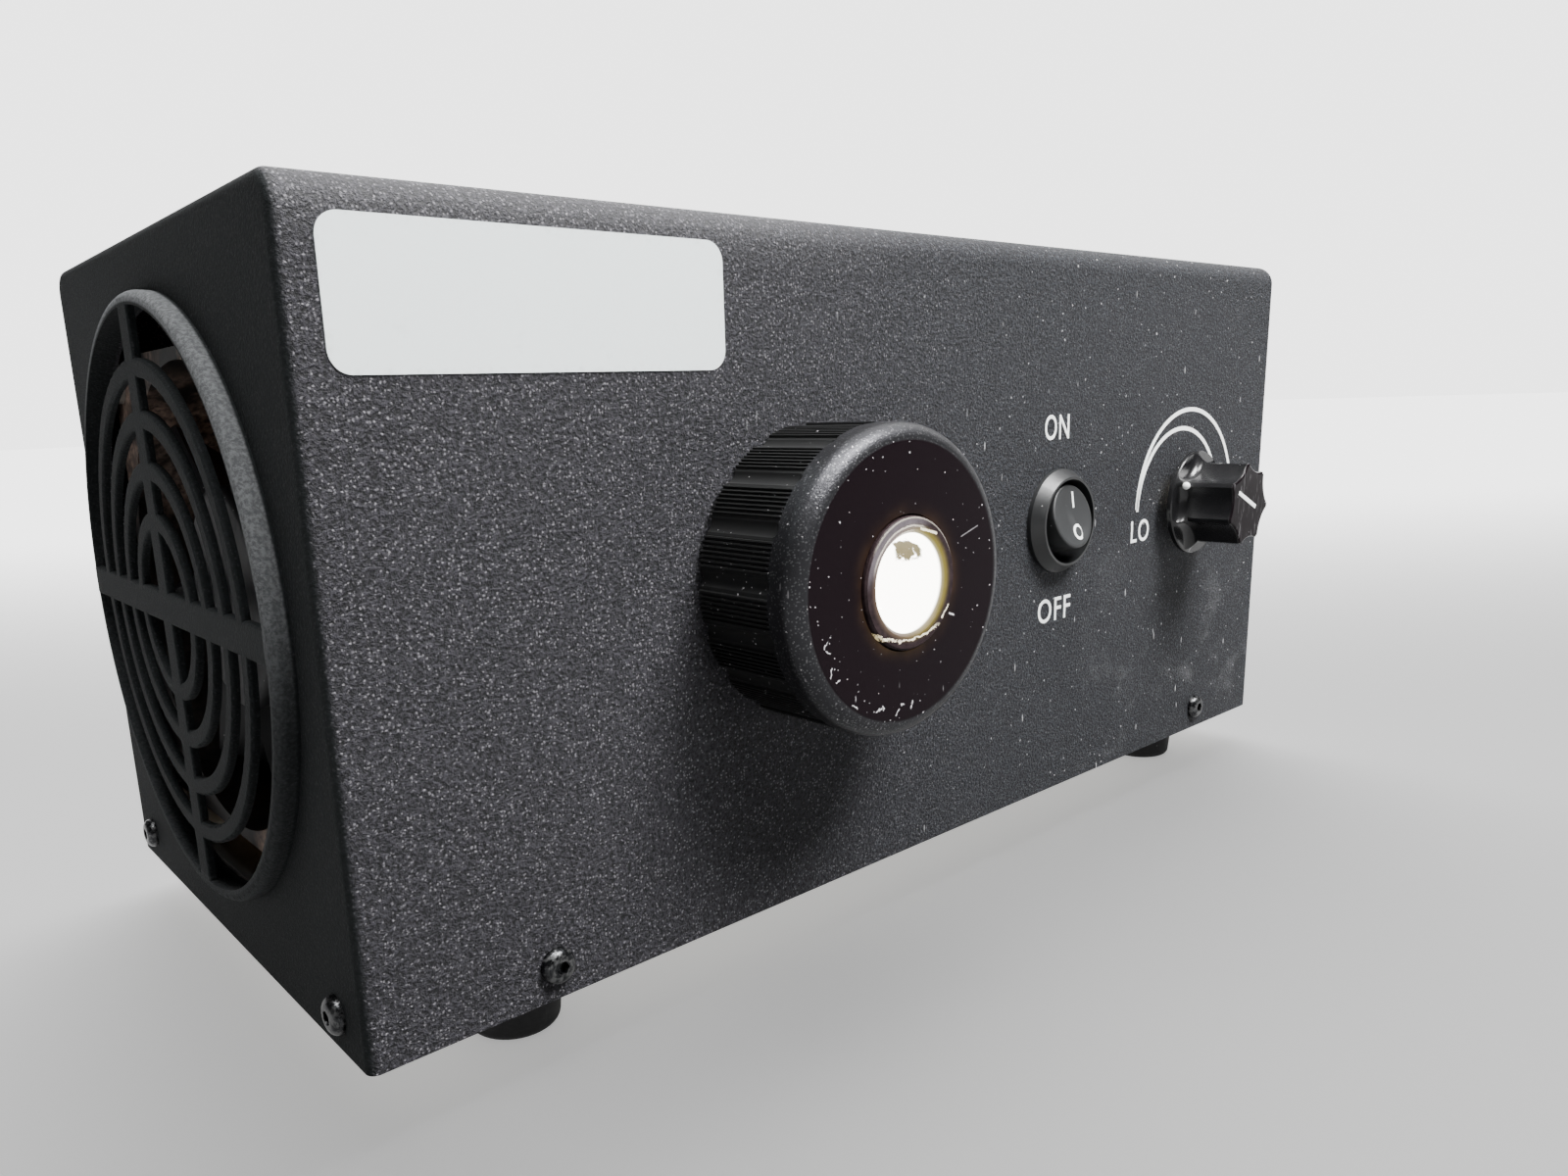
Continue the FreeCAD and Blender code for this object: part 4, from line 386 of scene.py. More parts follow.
# -------------------- finishes
def powder_coat(finishes):
    """Leathery dark powder coat with bright grains, dust and a cloudy lower right corner; painted
    light makes the front lighter and more purple on the left and darker and bluer on the right,
    painted shade darkens the left end, and a painted highlight lies on the upper front of the fan
    guard's rim.
    """
    f = Finish("powder_coat")
    x, y, z = f.axes()
    ragged = f.torn(0.0008, 0.0006)
    side = f.step(x, LEFT + 0.0012, LEFT + 0.0003)
    # painted light: the front is painted lighter and more purple towards the left and darker and
    # bluer towards the right, where less light falls
    painted_light_left = f.step(x, 0.03, -0.09)
    from_fan = (y - FAN.y).hypot(z - FAN.z)
    # painted highlight: the upper front of the fan guard's rim, where it catches the light, is
    # painted light grey, and the rest of the rim a little lighter
    rim = (f.step(from_fan, GUARD_RIM_RADIUS - 0.0004, GUARD_RIM_RADIUS)
           * f.step(x, LEFT - 0.0002, LEFT - 0.0007)
           * f.step(1.2 * (z - FAN.z) - 0.5 * (y - FAN.y), 0.004, 0.045, 0.10, 1.0))
    grain = f.step(f.noise(0.0006, 3.0, 0.7), 0.36, 0.66)
    fine = f.noise(0.0003, 2.0, 0.65)
    blotch = f.noise(0.03, 3.0, 0.6)
    distance, lot = f.cells(0.00055, ragged)
    flake = f.step(distance, 0.42, 0.16) * (lot > 0.45) * (1.0 - 0.92 * side)
    reach = f.step(x, -0.11, 0.10, 0.30, 1.0)
    patch = f.step(f.noise(0.018, 3.0, 0.6) * reach, 0.14, 0.46)
    dust = (f.specks(0.0021, 0.115, 0.55, ragged) + f.specks(0.0046, 0.075, 0.7, ragged)
            + f.lint(0.0034, 0.07, 0.6, 0.8)
            + f.lint(0.0038, 0.065, 0.6, -0.7)) * patch * (1.0 - side)
    cloud = (f.step(x, 0.02, 0.07) * f.step(z, 0.075, 0.03)
             * f.step(f.noise(0.014, 4.0, 0.75), 0.50, 0.74))
    rubbed = (f.step(z, CASE_HIGH.z - 0.010, CASE_HIGH.z - 0.002)
              * f.step(x, 0.0, -0.06) * (1.0 - side))
    painted_lit_coat = shaded(finishes.coat, (2.5, 2.42, 2.6))
    painted_shaded_coat = shaded(finishes.coat, (1.75, 1.95, 2.10))
    coat = f.blend(grain, shaded(finishes.coat, 0.40), f.blend(painted_light_left, painted_shaded_coat, painted_lit_coat))
    coat = f.blend(blotch * 0.3, coat, shaded(finishes.coat, 1.2))
    # painted shade: the paint of the case's left end is made near black and greener because that
    # side gets little light
    coat = f.blend(side * 0.85, coat, (0.0022, 0.0042, 0.0042))
    coat = f.blend(rim * (0.5 + 0.5 * grain), coat, (0.15, 0.155, 0.16))
    # painted light: the flakes are also painted brighter towards the left
    coat = f.blend(flake * (0.18 + 0.34 * painted_light_left), coat, (0.26, 0.25, 0.27))
    pale_dust = (dust * 0.75 + cloud * 0.08 + rubbed * 0.10 * fine).capped()
    coat = f.blend(pale_dust, coat, (0.56, 0.56, 0.57))
    rough = 0.56 + 0.2 * fine - 0.15 * flake + 0.2 * dust.capped() + 0.2 * side
    height = grain * 0.8 + fine * 0.3 + dust.capped() * 0.25
    f.set(Base_Color=coat, Metallic=flake * 0.3, Roughness=rough.capped(), Specular_IOR_Level=0.22,
          Normal=f.bump(height, 0.8 - 0.45 * side, 0.00030))
    f.give("cover")


def plated_steel(name, tone, nodes, rough=0.34, spangle=0.006):
    """Zinc plated or bare sheet with a soft crystal pattern and fine rolling lines."""
    f = Finish(name)
    crystals, lot = f.cells(spangle)
    lines = f.noise(0.0006, 2.0, 0.5, f.moved(scale=(1.0, 0.06, 1.0)))
    stain = f.noise(0.02, 4.0, 0.65)
    sheen = f.blend(lot * 0.45, tone, shaded(tone, 0.78))
    sheen = f.blend(f.step(stain, 0.5, 0.85) * 0.4, sheen, shaded(tone, 0.55))
    f.set(Base_Color=sheen, Metallic=1.0, Roughness=rough + 0.22 * lines + 0.1 * stain,
          Normal=f.bump(lines + crystals * 0.2, 0.12, 0.0001))
    f.give(*nodes)


def blank_label(finishes):
    """White vinyl, slightly mottled, rubbed at its edge and smudged in two places."""
    f = Finish("label_vinyl")
    low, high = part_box("front_label")
    x, _, z = f.axes()
    half = (high - low) / 2
    centre = (high + low) / 2
    worn = 0.0016
    edge = (abs(x - centre.x) - (half.x - worn)).most(abs(z - centre.z) - (half.z - worn))
    smudge = f.step(f.noise(0.006, 4.0, 0.7), 0.56, 0.78) * f.step(z, high.z - 0.006, low.z + 0.003)
    grime = f.step(f.noise(0.0012, 3.0, 0.6), 0.45, 0.8) * f.step(edge, 0.0, worn)
    specks = f.specks(0.005, 0.05, 0.35)
    paper = f.blend(f.noise(0.0009, 3.0, 0.6) * 0.5, finishes.label, shaded(finishes.label, 0.93))
    soiled = (smudge * 0.2 + grime * 0.35 + specks * 0.4).capped()
    paper = f.blend(soiled, paper, (0.40, 0.43, 0.43))
    f.set(Base_Color=paper, Roughness=0.36 + 0.25 * f.noise(0.003), Specular_IOR_Level=0.4,
          Normal=f.bump(f.noise(0.0011, 2.0), 0.12, 0.0001))
    f.give("front_label")


def foot_rubber():
    """Dull black rubber, dusty in patches."""
    f = Finish("foot_rubber")
    grain = f.noise(0.0007, 3.0, 0.6)
    dust = f.specks(0.003, 0.09, 0.3)
    tone = f.blend((dust * 0.5 + f.step(f.noise(0.006, 3.0), 0.55, 0.8) * 0.3).capped(),
                   (0.010, 0.010, 0.011), (0.12, 0.12, 0.115))
    f.set(Base_Color=tone, Roughness=0.72 + 0.15 * grain, Normal=f.bump(grain, 0.3, 0.0002))
    f.give("rubber_feet")


def dark_screws(*nodes):
    """Dark plated steel, worn bright in patches and along scratches."""
    f = Finish("black_screws")
    wear = f.step(f.noise(0.0012, 4.0, 0.7), 0.46, 0.66)
    scratch = f.step(f.noise(0.0004, 2.0, 0.5, f.moved((0, 0.7, 0), (1, 1, 0.1))), 0.55, 0.75)
    tone = f.blend((wear * 0.6 + scratch * 0.3).capped(), (0.030, 0.031, 0.033), (0.20, 0.20, 0.20))
    f.set(Base_Color=tone, Metallic=0.95, Roughness=0.26 + 0.22 * wear,
          Normal=f.bump(scratch + wear, 0.15, 0.00006))
    f.give(*nodes)


# where each fibre lies on the knob's face: its angle, distance out in mm, lean and length in mm
LINT = (
    (201, 20.0, 50, 1.1), (205, 19.3, 150, 0.9), (214, 21.0, 80, 1.3), (218, 20.6, 20, 0.7),
    (236, 21.2, 140, 1.0), (249, 20.6, 30, 1.2), (253, 19.9, 110, 0.8), (262, 20.9, 60, 1.2),
    (267, 19.2, 160, 0.8), (272, 20.4, 70, 1.4),
)
LINT_WIDTH = 0.15 * MM


def knob_plastic(finishes):
    """Matte ribbed grip, satin sparkling shoulder and a smooth, dusty face with a painted warm glow
    of lamp light near the bore.
    """
    f = Finish("knob_plastic")
    across, y, up, radius = f.around_guide()
    face = (f.step(y, KNOB_FACE + 0.0007, KNOB_FACE + 0.00015)
            * f.step(radius, KNOB_FLAT_RADIUS + 0.0003, KNOB_FLAT_RADIUS - 0.0003))
    shoulder_end = KNOB_FACE + KNOB_SHOULDER
    cap = f.step(y, shoulder_end + 0.0004, shoulder_end - 0.0004)
    shoulder = (cap - face).capped()
    ragged = f.torn(0.0006, 0.0006)
    grit = f.noise(0.00034, 2.0, 0.7)
    grain_distance, lot = f.cells(0.0004)
    sparkle = f.step(grain_distance, 0.5, 0.1) * (lot > 0.4)
    lower_left = f.step(across * 0.8 + up, -0.008, -0.016) * f.step(radius, 0.0150, 0.0195)
    specks = (f.specks(0.0014, 0.095, 0.6, ragged) + f.specks(0.0030, 0.06, 0.7, ragged)
              + (f.lint(0.0017, 0.11, 0.8, 0.5) + f.lint(0.0019, 0.10, 0.8, -0.9)
                 + f.specks(0.0012, 0.14, 0.6, ragged)) * lower_left * (0.25 + 0.75 * face))
    bend = 0.0011
    wavy_x, _, wavy_z = f.axes(f.torn(0.0007, bend))
    wavy_across = wavy_x - (GUIDE.x + bend / 2)
    wavy_up = wavy_z - (GUIDE.z + bend / 2)
    for around, away, lean, size in LINT:
        start = Matrix.Rotation(math.radians(around), 2) @ Vector((away * MM, 0))
        end = start + Matrix.Rotation(math.radians(lean), 2) @ Vector((size * MM, 0))
        specks = specks + f.near_line(wavy_across, wavy_up, start, end, LINT_WIDTH) * face
    scratch = f.near_line(across, up, (0.0130, 0.0059), (0.0172, 0.0072), 0.00012) * face
    # painted highlight: a short bright line on the face at the lower right, the end of the collet's
    # painted lit lower edge
    painted_lit_end = f.near_line(across, up, (0.0101, -0.0062), (0.0112, -0.0066), 0.00022) * face
    tone = f.blend(face, finishes.knob, (0.0036, 0.0012, 0.0024))
    tone = f.blend(shoulder, tone, f.blend(sparkle, (0.036, 0.036, 0.039), (0.11, 0.11, 0.115)))
    tone = f.blend((specks * 0.85 + scratch * 0.30 + painted_lit_end).capped(), tone, (0.66, 0.64, 0.66))
    grip = (1.0 - cap).capped()
    rough = 0.50 - 0.16 * face - 0.16 * shoulder + 0.14 * grit
    height = grit * (0.2 + 0.8 * shoulder) + specks.capped() * 0.4
    # painted glow: a warm emission on the face around the bore stands in for lamp light spilling
    # onto it
    painted_glow = f.step(radius, 0.0150, 0.0100) * face * f.step(f.noise(0.006, 2.0), 0.2, 0.7, 0.5, 1.0)
    f.set(Base_Color=tone, Metallic=shoulder * 0.9 * (1.0 - specks.capped()), Roughness=rough,
          Specular_IOR_Level=0.08, Coat_Weight=0.25 * grip, Coat_Roughness=0.30,
          Normal=f.bump(height, 0.40, 0.00014),
          Emission_Color=f.blend(painted_glow * painted_glow * painted_glow, BLACK, (0.15, 0.085, 0.035)),
          Emission_Strength=0.45)
    f.give("clamp_knob")


def collet_metal(finishes):
    """Dark lip with a ragged, painted lit lower edge, painted highlights and a painted reflection
    above; the bore inside glows with painted lamp light.
    """
    f = Finish("black_alloy_lit")
    across, y, up, radius = f.around_guide()
    depth = y - front_of("guide_collet")
    ragged = f.noise(0.0012, 4.0, 0.75)
    wander = (ragged - 0.5) * 0.0016
    slack = across - 0.0005
    ring = 0.0088 + 26.0 * slack * slack
    # painted highlight and glow: a ragged bright line along the lip's lower edge, with a curl at
    # its right end, where light from inside the bore catches the edge
    painted_lit_edge = (f.band(radius - ring - wander, 0.00024, 0.00008)
            * f.step(up + 0.25 * across, -0.0052, -0.0066)
            * f.step(f.noise(0.0006, 2.0), 0.30, 0.42))
    painted_lit_curl = f.near_line(across + wander, up, (0.0074, -0.0064), (0.0090, -0.0046), 0.00026)
    # painted highlights: two thin pale arcs along the top of the lip
    painted_highlight_arc = (f.band(radius - 0.0101 - wander * 0.15, 0.00018, 0.00006)
           * f.step(up + 0.1 * across, 0.0040, 0.0064))
    painted_inner_highlight_arc = (f.band(radius - 0.0089 - wander * 0.2, 0.00020, 0.00007)
                 * f.step(up - 0.5 * across, 0.0062, 0.0085))
    # painted glint: a short bright line on the lip's upper right
    painted_glint = f.near_line(across, up + wander * 0.5, (0.0022, 0.0083), (0.0058, 0.0072), 0.00028)
    # painted reflection: the lip's upper left is painted paler, smoother and glossier where it
    # reflects the light
    painted_reflection = f.step(up - 0.6 * across, 0.0052, 0.0096) * f.step(radius, 0.0102, 0.0099)
    # painted light: the bore's wall, fainter at its front edge, and everything deeper than about 8
    # mm glow with lamp light
    bore = f.step(radius, BORE_RADIUS + 0.00042, BORE_RADIUS + 0.00008)
    lit = (bore * f.step(depth, 0.0004, 0.0011, 0.02, 1.0)).most(f.step(depth, 0.0075, 0.0085))
    glow = f.step(radius, 0.0098, 0.0080)
    drift = up + 0.26 * depth - 0.0056
    patch = (f.band(drift, 0.0028, 0.0006) * f.step(depth, 0.0022, 0.0056)
             * f.step(depth, 0.0108, 0.0080) * f.step(across, -0.0010, 0.0016))
    burn = f.noise(0.0021, 3.0, 0.6, warp=0.8) * patch.sqrt()
    stain = f.step(burn, 0.30, 0.42)
    lip = f.blend(f.step(ragged, 0.35, 0.7), (0.014, 0.008, 0.009), (0.030, 0.019, 0.021))
    lip = f.blend(painted_reflection * (0.35 + 0.5 * ragged), lip, (0.16, 0.14, 0.155))
    bright = painted_lit_edge + painted_lit_curl + painted_glint
    lip = f.blend((bright + painted_highlight_arc * 0.25 + painted_inner_highlight_arc * 0.6).capped(), lip, (0.80, 0.74, 0.62))
    light = f.blend(stain, finishes.glow, (0.020, 0.019, 0.001))
    # painted glow: the lip's inner edge glows warm, brighter and yellower towards the right
    warm = f.blend(f.step(across, -0.004, 0.004), (0.020, 0.014, 0.008), (0.034, 0.028, 0.004))
    edge_light = f.blend(glow * glow, BLACK, warm)
    # the painted lit edge, curl and glint also glow
    edge_light = f.blend(bright.capped() * 0.8, edge_light, (0.080, 0.064, 0.030))
    f.set(Base_Color=lip, Roughness=0.40 + 0.25 * ragged - 0.2 * painted_reflection, Specular_IOR_Level=0.10,
          Coat_Weight=painted_reflection * 0.15, Coat_Roughness=0.08,
          Normal=f.bump(painted_lit_edge + painted_lit_curl + ragged * 0.3, 0.5, 0.0003),
          Emission_Color=f.blend(lit, edge_light, light), Emission_Strength=11.0)
    f.give("guide_collet")


def lit_tube(finishes):
    """Black nose tube whose inside, seen through the collet's slots, glows with painted lamp light
    too.
    """
    f = Finish("black_alloy_tube")
    inside = f.step(f.around_guide()[3], TUBE_RADIUS + 0.0002, TUBE_RADIUS - 0.0002)
    skin = f.noise(0.0006, 3.0, 0.6)
    # painted light: the tube's inside is given the lamp's light as emission
    f.set(Base_Color=f.blend(skin, (0.016, 0.016, 0.017), (0.026, 0.026, 0.027)),
          Roughness=0.38 + 0.1 * skin, Normal=f.bump(skin, 0.1, 0.00008),
          Emission_Color=f.blend(inside, BLACK, finishes.glow), Emission_Strength=9.0)
    f.give("nose_tube")


def lit_glass(name, nodes, tone, light, strength):
    """Glass of the burning lamp or in front of it, given a glow: the lamp's own light on its
    capsule, painted lamp light on the filter glass and the reflector.
    """
    f = Finish(name)
    ripple = f.noise(0.002, 3.0, 0.6)
    f.set(Base_Color=f.blend(ripple, tone, shaded(tone, 0.9)), Roughness=0.08 + 0.1 * ripple,
          Emission_Color=f.blend(ripple * 0.4, light, shaded(light, 0.8)),
          Emission_Strength=strength, Coat_Weight=0.5)
    f.give(*nodes)


def moulded(name, nodes, tone, rough, dust=0.3, coat=0.0):
    """Moulded plastic: faint flow marks, a little dust and handling wear."""
    f = Finish(name)
    skin = f.noise(0.0006, 3.0, 0.6)
    flow = f.noise(0.008, 3.0, 0.6, warp=1.0)
    ragged = f.torn(0.0006, 0.0005)
    specks = f.specks(0.0026, 0.06, dust, ragged) + f.specks(0.0013, 0.09, dust * 0.5)
    rubbed = f.step(flow, 0.52, 0.8)
    tint = f.blend(rubbed * 0.5, tone, tuple(1.5 * c + 0.004 for c in tone))
    tint = f.blend((specks * 0.7).capped(), tint, (0.55, 0.55, 0.55))
    f.set(Base_Color=tint, Roughness=rough + 0.14 * rubbed + 0.08 * skin, Coat_Weight=coat,
          Coat_Roughness=0.06, Normal=f.bump(skin + specks.capped(), 0.10, 0.00008))
    f.give(*nodes)


def dimmer_gloss(finishes):
    """Polished black knob with fine scratches on its face and dust in its flutes."""
    f = Finish("dimmer_plastic")
    face = f.step(f.axes()[1], DIMMER_FACE + 0.0006, DIMMER_FACE + 0.0001)
    rising = f.noise(0.0008, 3.0, 0.6, f.moved((0, 0.6, 0), (1, 1, 0.10)), 1.8)
    falling = f.noise(0.0011, 2.0, 0.6, f.moved((0, -0.8, 0), (1, 1, 0.12)), 1.2)
    hair = (f.step(rising, 0.62, 0.68) + f.step(falling, 0.64, 0.70)).capped() * face
    haze = f.step(f.noise(0.004, 4.0, 0.7), 0.52, 0.75)
    specks = f.specks(0.0024, 0.06, 0.35, f.torn(0.0005, 0.0004)) + f.specks(0.0013, 0.09, 0.15)
    tone = f.blend(face, finishes.gloss, (0.0044, 0.0028, 0.0036))
    tone = f.blend((hair * 0.10 + specks * 0.6 + haze * 0.012).capped(), tone, (0.55, 0.54, 0.56))
    f.set(Base_Color=tone, Roughness=0.12 + 0.10 * haze + 0.12 * hair, Specular_IOR_Level=0.03,
          Coat_Weight=0.85 - 0.81 * face, Coat_Roughness=0.24,
          Normal=f.bump(hair * 0.4 + f.noise(0.003) * 0.5, 0.08, 0.0001))
    f.give("dimmer_knob")


def frame_patches_and_painted_light():
    """Dark fan frame with pale brown patches in two opposite corners and a painted strip of light
    with painted glints above its middle.
    """
    f = Finish("frame_patches_and_painted_light")
    _, y, z = f.axes()
    # pale brown noisy patches in the top left and bottom right corners
    corner = f.step(abs((y - FAN.y) + (z - FAN.z)), 0.044, 0.054)
    corner_patches = (f.step(f.noise(0.010, 4.0, 0.7), 0.36, 0.62)
            * f.step(f.noise(0.0012, 3.0, 0.7), 0.20, 0.65) * (0.06 + 0.94 * corner))
    # painted light: a narrow pale band with metallic glints, standing in for light caught on the
    # frame behind the top spoke
    painted_light_strip = f.band(y - FAN.y + 0.0045, 0.0030, 0.0022) * f.step(z - FAN.z, 0.010, 0.016)
    painted_frame_glints = f.specks(0.0009, 0.26, 0.4) * painted_light_strip
    tone = f.blend(corner_patches * 0.9, (0.006, 0.0055, 0.0055), (0.34, 0.245, 0.20))
    tone = f.blend((painted_frame_glints + painted_light_strip * 0.15).capped(), tone, (0.80, 0.62, 0.48))
    f.set(Base_Color=tone, Metallic=painted_frame_glints * 0.5, Roughness=0.50 + 0.25 * corner_patches - 0.2 * painted_frame_glints,
          Specular_IOR_Level=0.2, Normal=f.bump(corner_patches + painted_frame_glints, 0.3, 0.0002))
    f.give("fan_frame")


def wound_copper(*nodes):
    """Enamelled wire laid in turns under clear varnish."""
    f = Finish("copper_winding")
    turns = f.add("ShaderNodeTexWave", {"wave_type": "BANDS", "bands_direction": "Z"},
                  {"Vector": f.place, "Scale": 400.0, "Distortion": 0.6, "Detail": 1.0})["Fac"]
    shade = f.noise(0.004, 3.0)
    tone = f.blend(turns, (0.12, 0.045, 0.018), (0.48, 0.20, 0.085))
    f.set(Base_Color=f.blend(shade * 0.4, tone, (0.30, 0.11, 0.05)), Metallic=0.7,
          Roughness=0.30 + 0.2 * shade, Coat_Weight=0.5, Normal=f.bump(turns, 0.5, 0.0003))
    f.give(*nodes)


def laminated_steel():
    """Stacked laminations seen on edge, dipped in brown varnish."""
    f = Finish("laminated_steel")
    sheets = f.add("ShaderNodeTexWave", {"wave_type": "BANDS", "bands_direction": "Y"},
                   {"Vector": f.place, "Scale": 320.0, "Distortion": 0.3})["Fac"]
    varnish = f.noise(0.012, 4.0, 0.65)
    tone = f.blend(sheets * 0.6, (0.10, 0.085, 0.07), (0.22, 0.20, 0.18))
    tone = f.blend(f.step(varnish, 0.45, 0.7) * 0.6, tone, (0.14, 0.07, 0.03))
    f.set(Base_Color=tone, Metallic=0.7, Roughness=0.40 + 0.2 * varnish, Coat_Weight=0.3,
          Normal=f.bump(sheets, 0.3, 0.0002))
    f.give("transformer_core")


def circuit_board():
    """Green lacquer over a net of copper tracks."""
    f = Finish("circuit_board")
    tracks = f.add("ShaderNodeTexBrick", {"offset": 0.5},
                   {"Vector": f.place, "Scale": 110.0, "Mortar Size": 0.05,
                    "Color1": (0.02, 0.11, 0.05), "Color2": (0.015, 0.09, 0.04),
                    "Mortar": (0.05, 0.19, 0.08)})["Color"]
    weave = f.noise(0.0006, 2.0)
    f.set(Base_Color=f.blend(weave * 0.3, tracks, (0.03, 0.14, 0.06)), Roughness=0.32 + 0.1 * weave,
          Coat_Weight=0.3, Normal=f.bump(weave, 0.1, 0.0001))
    f.give("dimmer_board")


def white_ink(finishes):
    """Screen printed white, a little thin and speckled where it lies on the coarse paint."""
    f = Finish("white_ink")
    grain = f.noise(0.0009, 3.0, 0.65)
    thin = f.step(grain, 0.36, 0.24)
    f.set(Base_Color=f.blend(thin * 0.7, finishes.white, (0.30, 0.31, 0.32)),
          Roughness=0.55 + 0.15 * grain, Normal=f.bump(grain, 0.25, 0.0002))
    return f.material


# -------------------- making marks
WELD_GAP = 0.01 * MM
CAPITAL_SHARE = 0.73  # of the font's size, that a capital's height takes
LETTER_SPACING = 1.12
LETTER_SWELL = 0.008  # of the height, by which a letter's outline is thickened
LETTER_STEPS = 6
BEVEL_STEPS = 3
ARC_STEPS = 64
RING_STEPS = 40
DOT_STEPS = (24, 12)  # around the dot and from end to end


def nothing_selected():
    """Leave edit mode with no object selected."""
    if bpy.context.object and bpy.context.object.mode != "OBJECT":
        bpy.ops.object.mode_set(mode="OBJECT")
    bpy.ops.object.select_all(action="DESELECT")


def apply_place():
    """Put the active object's place, turn and size into its mesh."""
    bpy.ops.object.transform_apply(location=True, rotation=True, scale=True)


def settle(piece, name, body, material):
    """Bring a finished piece to the origin with its place in its mesh, and hand it to its body."""
    nothing_selected()
    piece.select_set(True)
    bpy.context.view_layer.objects.active = piece
    if piece.type != "MESH":
        bpy.ops.object.convert(target="MESH")
        piece = bpy.context.object
    apply_place()
    piece.name = name
    piece.data.name = name
    piece.data.materials.clear()
    piece.data.materials.append(material)
    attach(piece, body)


def word(text, x, z, width, ink):
    """A word in condensed capitals, standing on the panel with its middle at x, z."""
    nothing_selected()
    bpy.ops.object.text_add(location=(x, PANEL - ink.ink / 2, z), rotation=(math.pi / 2, 0, 0))
    letters = bpy.context.object
    letters.data.body = text
    letters.data.align_x = "CENTER"
    letters.data.align_y = "CENTER"
    letters.data.size = ink.letter_height / CAPITAL_SHARE
    letters.data.space_character = LETTER_SPACING
    letters.data.offset = ink.letter_height * LETTER_SWELL
    letters.data.extrude = ink.ink / 2
    letters.data.resolution_u = LETTER_STEPS
    bpy.context.view_layer.update()
    letters.scale = (width / letters.dimensions.x, 1, 1)
    return letters


def bar(centre, size, rounding):
    """A small bar with rounded edges, made from a primitive of the given size."""
    nothing_selected()
    bpy.ops.mesh.primitive_cube_add(size=1, location=centre)
    piece = bpy.context.object
    piece.scale = size
    apply_place()
    bevel = piece.modifiers.new("rounding", "BEVEL")
    bevel.width = rounding
    bevel.segments = BEVEL_STEPS
    bevel.limit_method = "ANGLE"
    bpy.ops.object.modifier_apply(modifier=bevel.name)
    return piece


def swept_bar(start, size, centre, angle, steps):
    """A bar's end face spun about the Y axis through centre into an arc or a whole ring."""
    nothing_selected()
    bpy.ops.mesh.primitive_plane_add(size=1, location=start)
    piece = bpy.context.object
    piece.scale = (size[0], size[1], 1)
    apply_place()
    bpy.ops.object.mode_set(mode="EDIT")
    bpy.ops.mesh.select_all(action="SELECT")
    bpy.ops.mesh.spin(steps=steps, angle=angle, center=centre, axis=(0, 1, 0))
    bpy.ops.mesh.select_all(action="SELECT")
    bpy.ops.mesh.remove_doubles(threshold=WELD_GAP)
    bpy.ops.mesh.normals_make_consistent(inside=False)
    bpy.ops.object.mode_set(mode="OBJECT")
    return piece


def turn_piece(piece, angle, axis, centre):
    """Turn a piece about an axis through centre, in its mesh."""
    turn = Matrix.Rotation(angle, 4, axis)
    place = Matrix.Translation(centre)
    piece.data.transform(place @ turn @ place.inverted())


# -------------------- operators
class ILLUMINATOR_OT_case_finish(bpy.types.Operator):
    """Paint the case and finish the label, feet, base plate and screws"""
    bl_idname = "illuminator.case_finish"
    bl_label = "Finish the Case"

    def execute(self, context):
        finishes = context.scene.illuminator_finishes
        powder_coat(finishes)
        blank_label(finishes)
        foot_rubber()
        plated_steel("zinc_sheet", (0.62, 0.61, 0.57), ("base_plate", "transformer_brackets"))
        dark_screws("cover_screws", "inlet_screws", "dimmer_set_screw")
        plated_steel("zinc_screws", (0.66, 0.65, 0.61), ("foot_screws", "foot_nuts", "board_screws",
                     "bracket_screws", "clip_screws", "socket_screws", "fan_screws", "fan_nuts",
                     "core_rivets"), 0.28, 0.0015)
        return {"FINISHED"}


class ILLUMINATOR_OT_clamp_finish(bpy.types.Operator):
    """Finish the light guide clamp and its knob"""
    bl_idname = "illuminator.clamp_finish"
    bl_label = "Finish the Clamp"

    def execute(self, context):
        finishes = context.scene.illuminator_finishes
        knob_plastic(finishes)
        collet_metal(finishes)
        lit_tube(finishes)
        moulded("black_alloy", ("nose_nut", "glass_retainer"), (0.02, 0.02, 0.021), 0.4)
        moulded("white_nylon", ("thrust_washer",), (0.62, 0.60, 0.55), 0.45)
        plated_steel("spring_steel", (0.45, 0.45, 0.46),
                     ("retaining_clip", "lamp_clips", "fan_shaft"), 0.25, 0.002)
        return {"FINISHED"}


class ILLUMINATOR_OT_lamp_finish(bpy.types.Operator):
    """Finish the burning lamp, its socket, brackets and heat shield"""
    bl_idname = "illuminator.lamp_finish"
    bl_label = "Finish the Lamp"

    def execute(self, context):
        glow = tuple(context.scene.illuminator_finishes.glow)
        # painted glow: the filter glass glows with lamp light it only passes
        lit_glass("filter_glass", ("heat_glass",), (0.75, 0.88, 0.84), glow, 3.0)
        lit_glass("lamp_glass", ("lamp_capsule",), (0.9, 0.9, 0.88), glow, 6.0)
        # painted glow: the reflector glows orange with lamp light it only reflects
        lit_glass("dichroic_glass", ("lamp_reflector",), (0.75, 0.65, 0.55), (1.0, 0.62, 0.36), 0.9)
        moulded("ceramic", ("lamp_base", "lamp_socket"), (0.70, 0.67, 0.60), 0.62)
        plated_steel("bare_aluminium", (0.72, 0.71, 0.69),
                     ("socket_bracket", "lamp_holder", "heat_shield", "thermal_cutout",
                      "fan_bracket", "potentiometer", "dimmer_shaft", "triac_heatsink"),
                     0.36, 0.02)
        return {"FINISHED"}


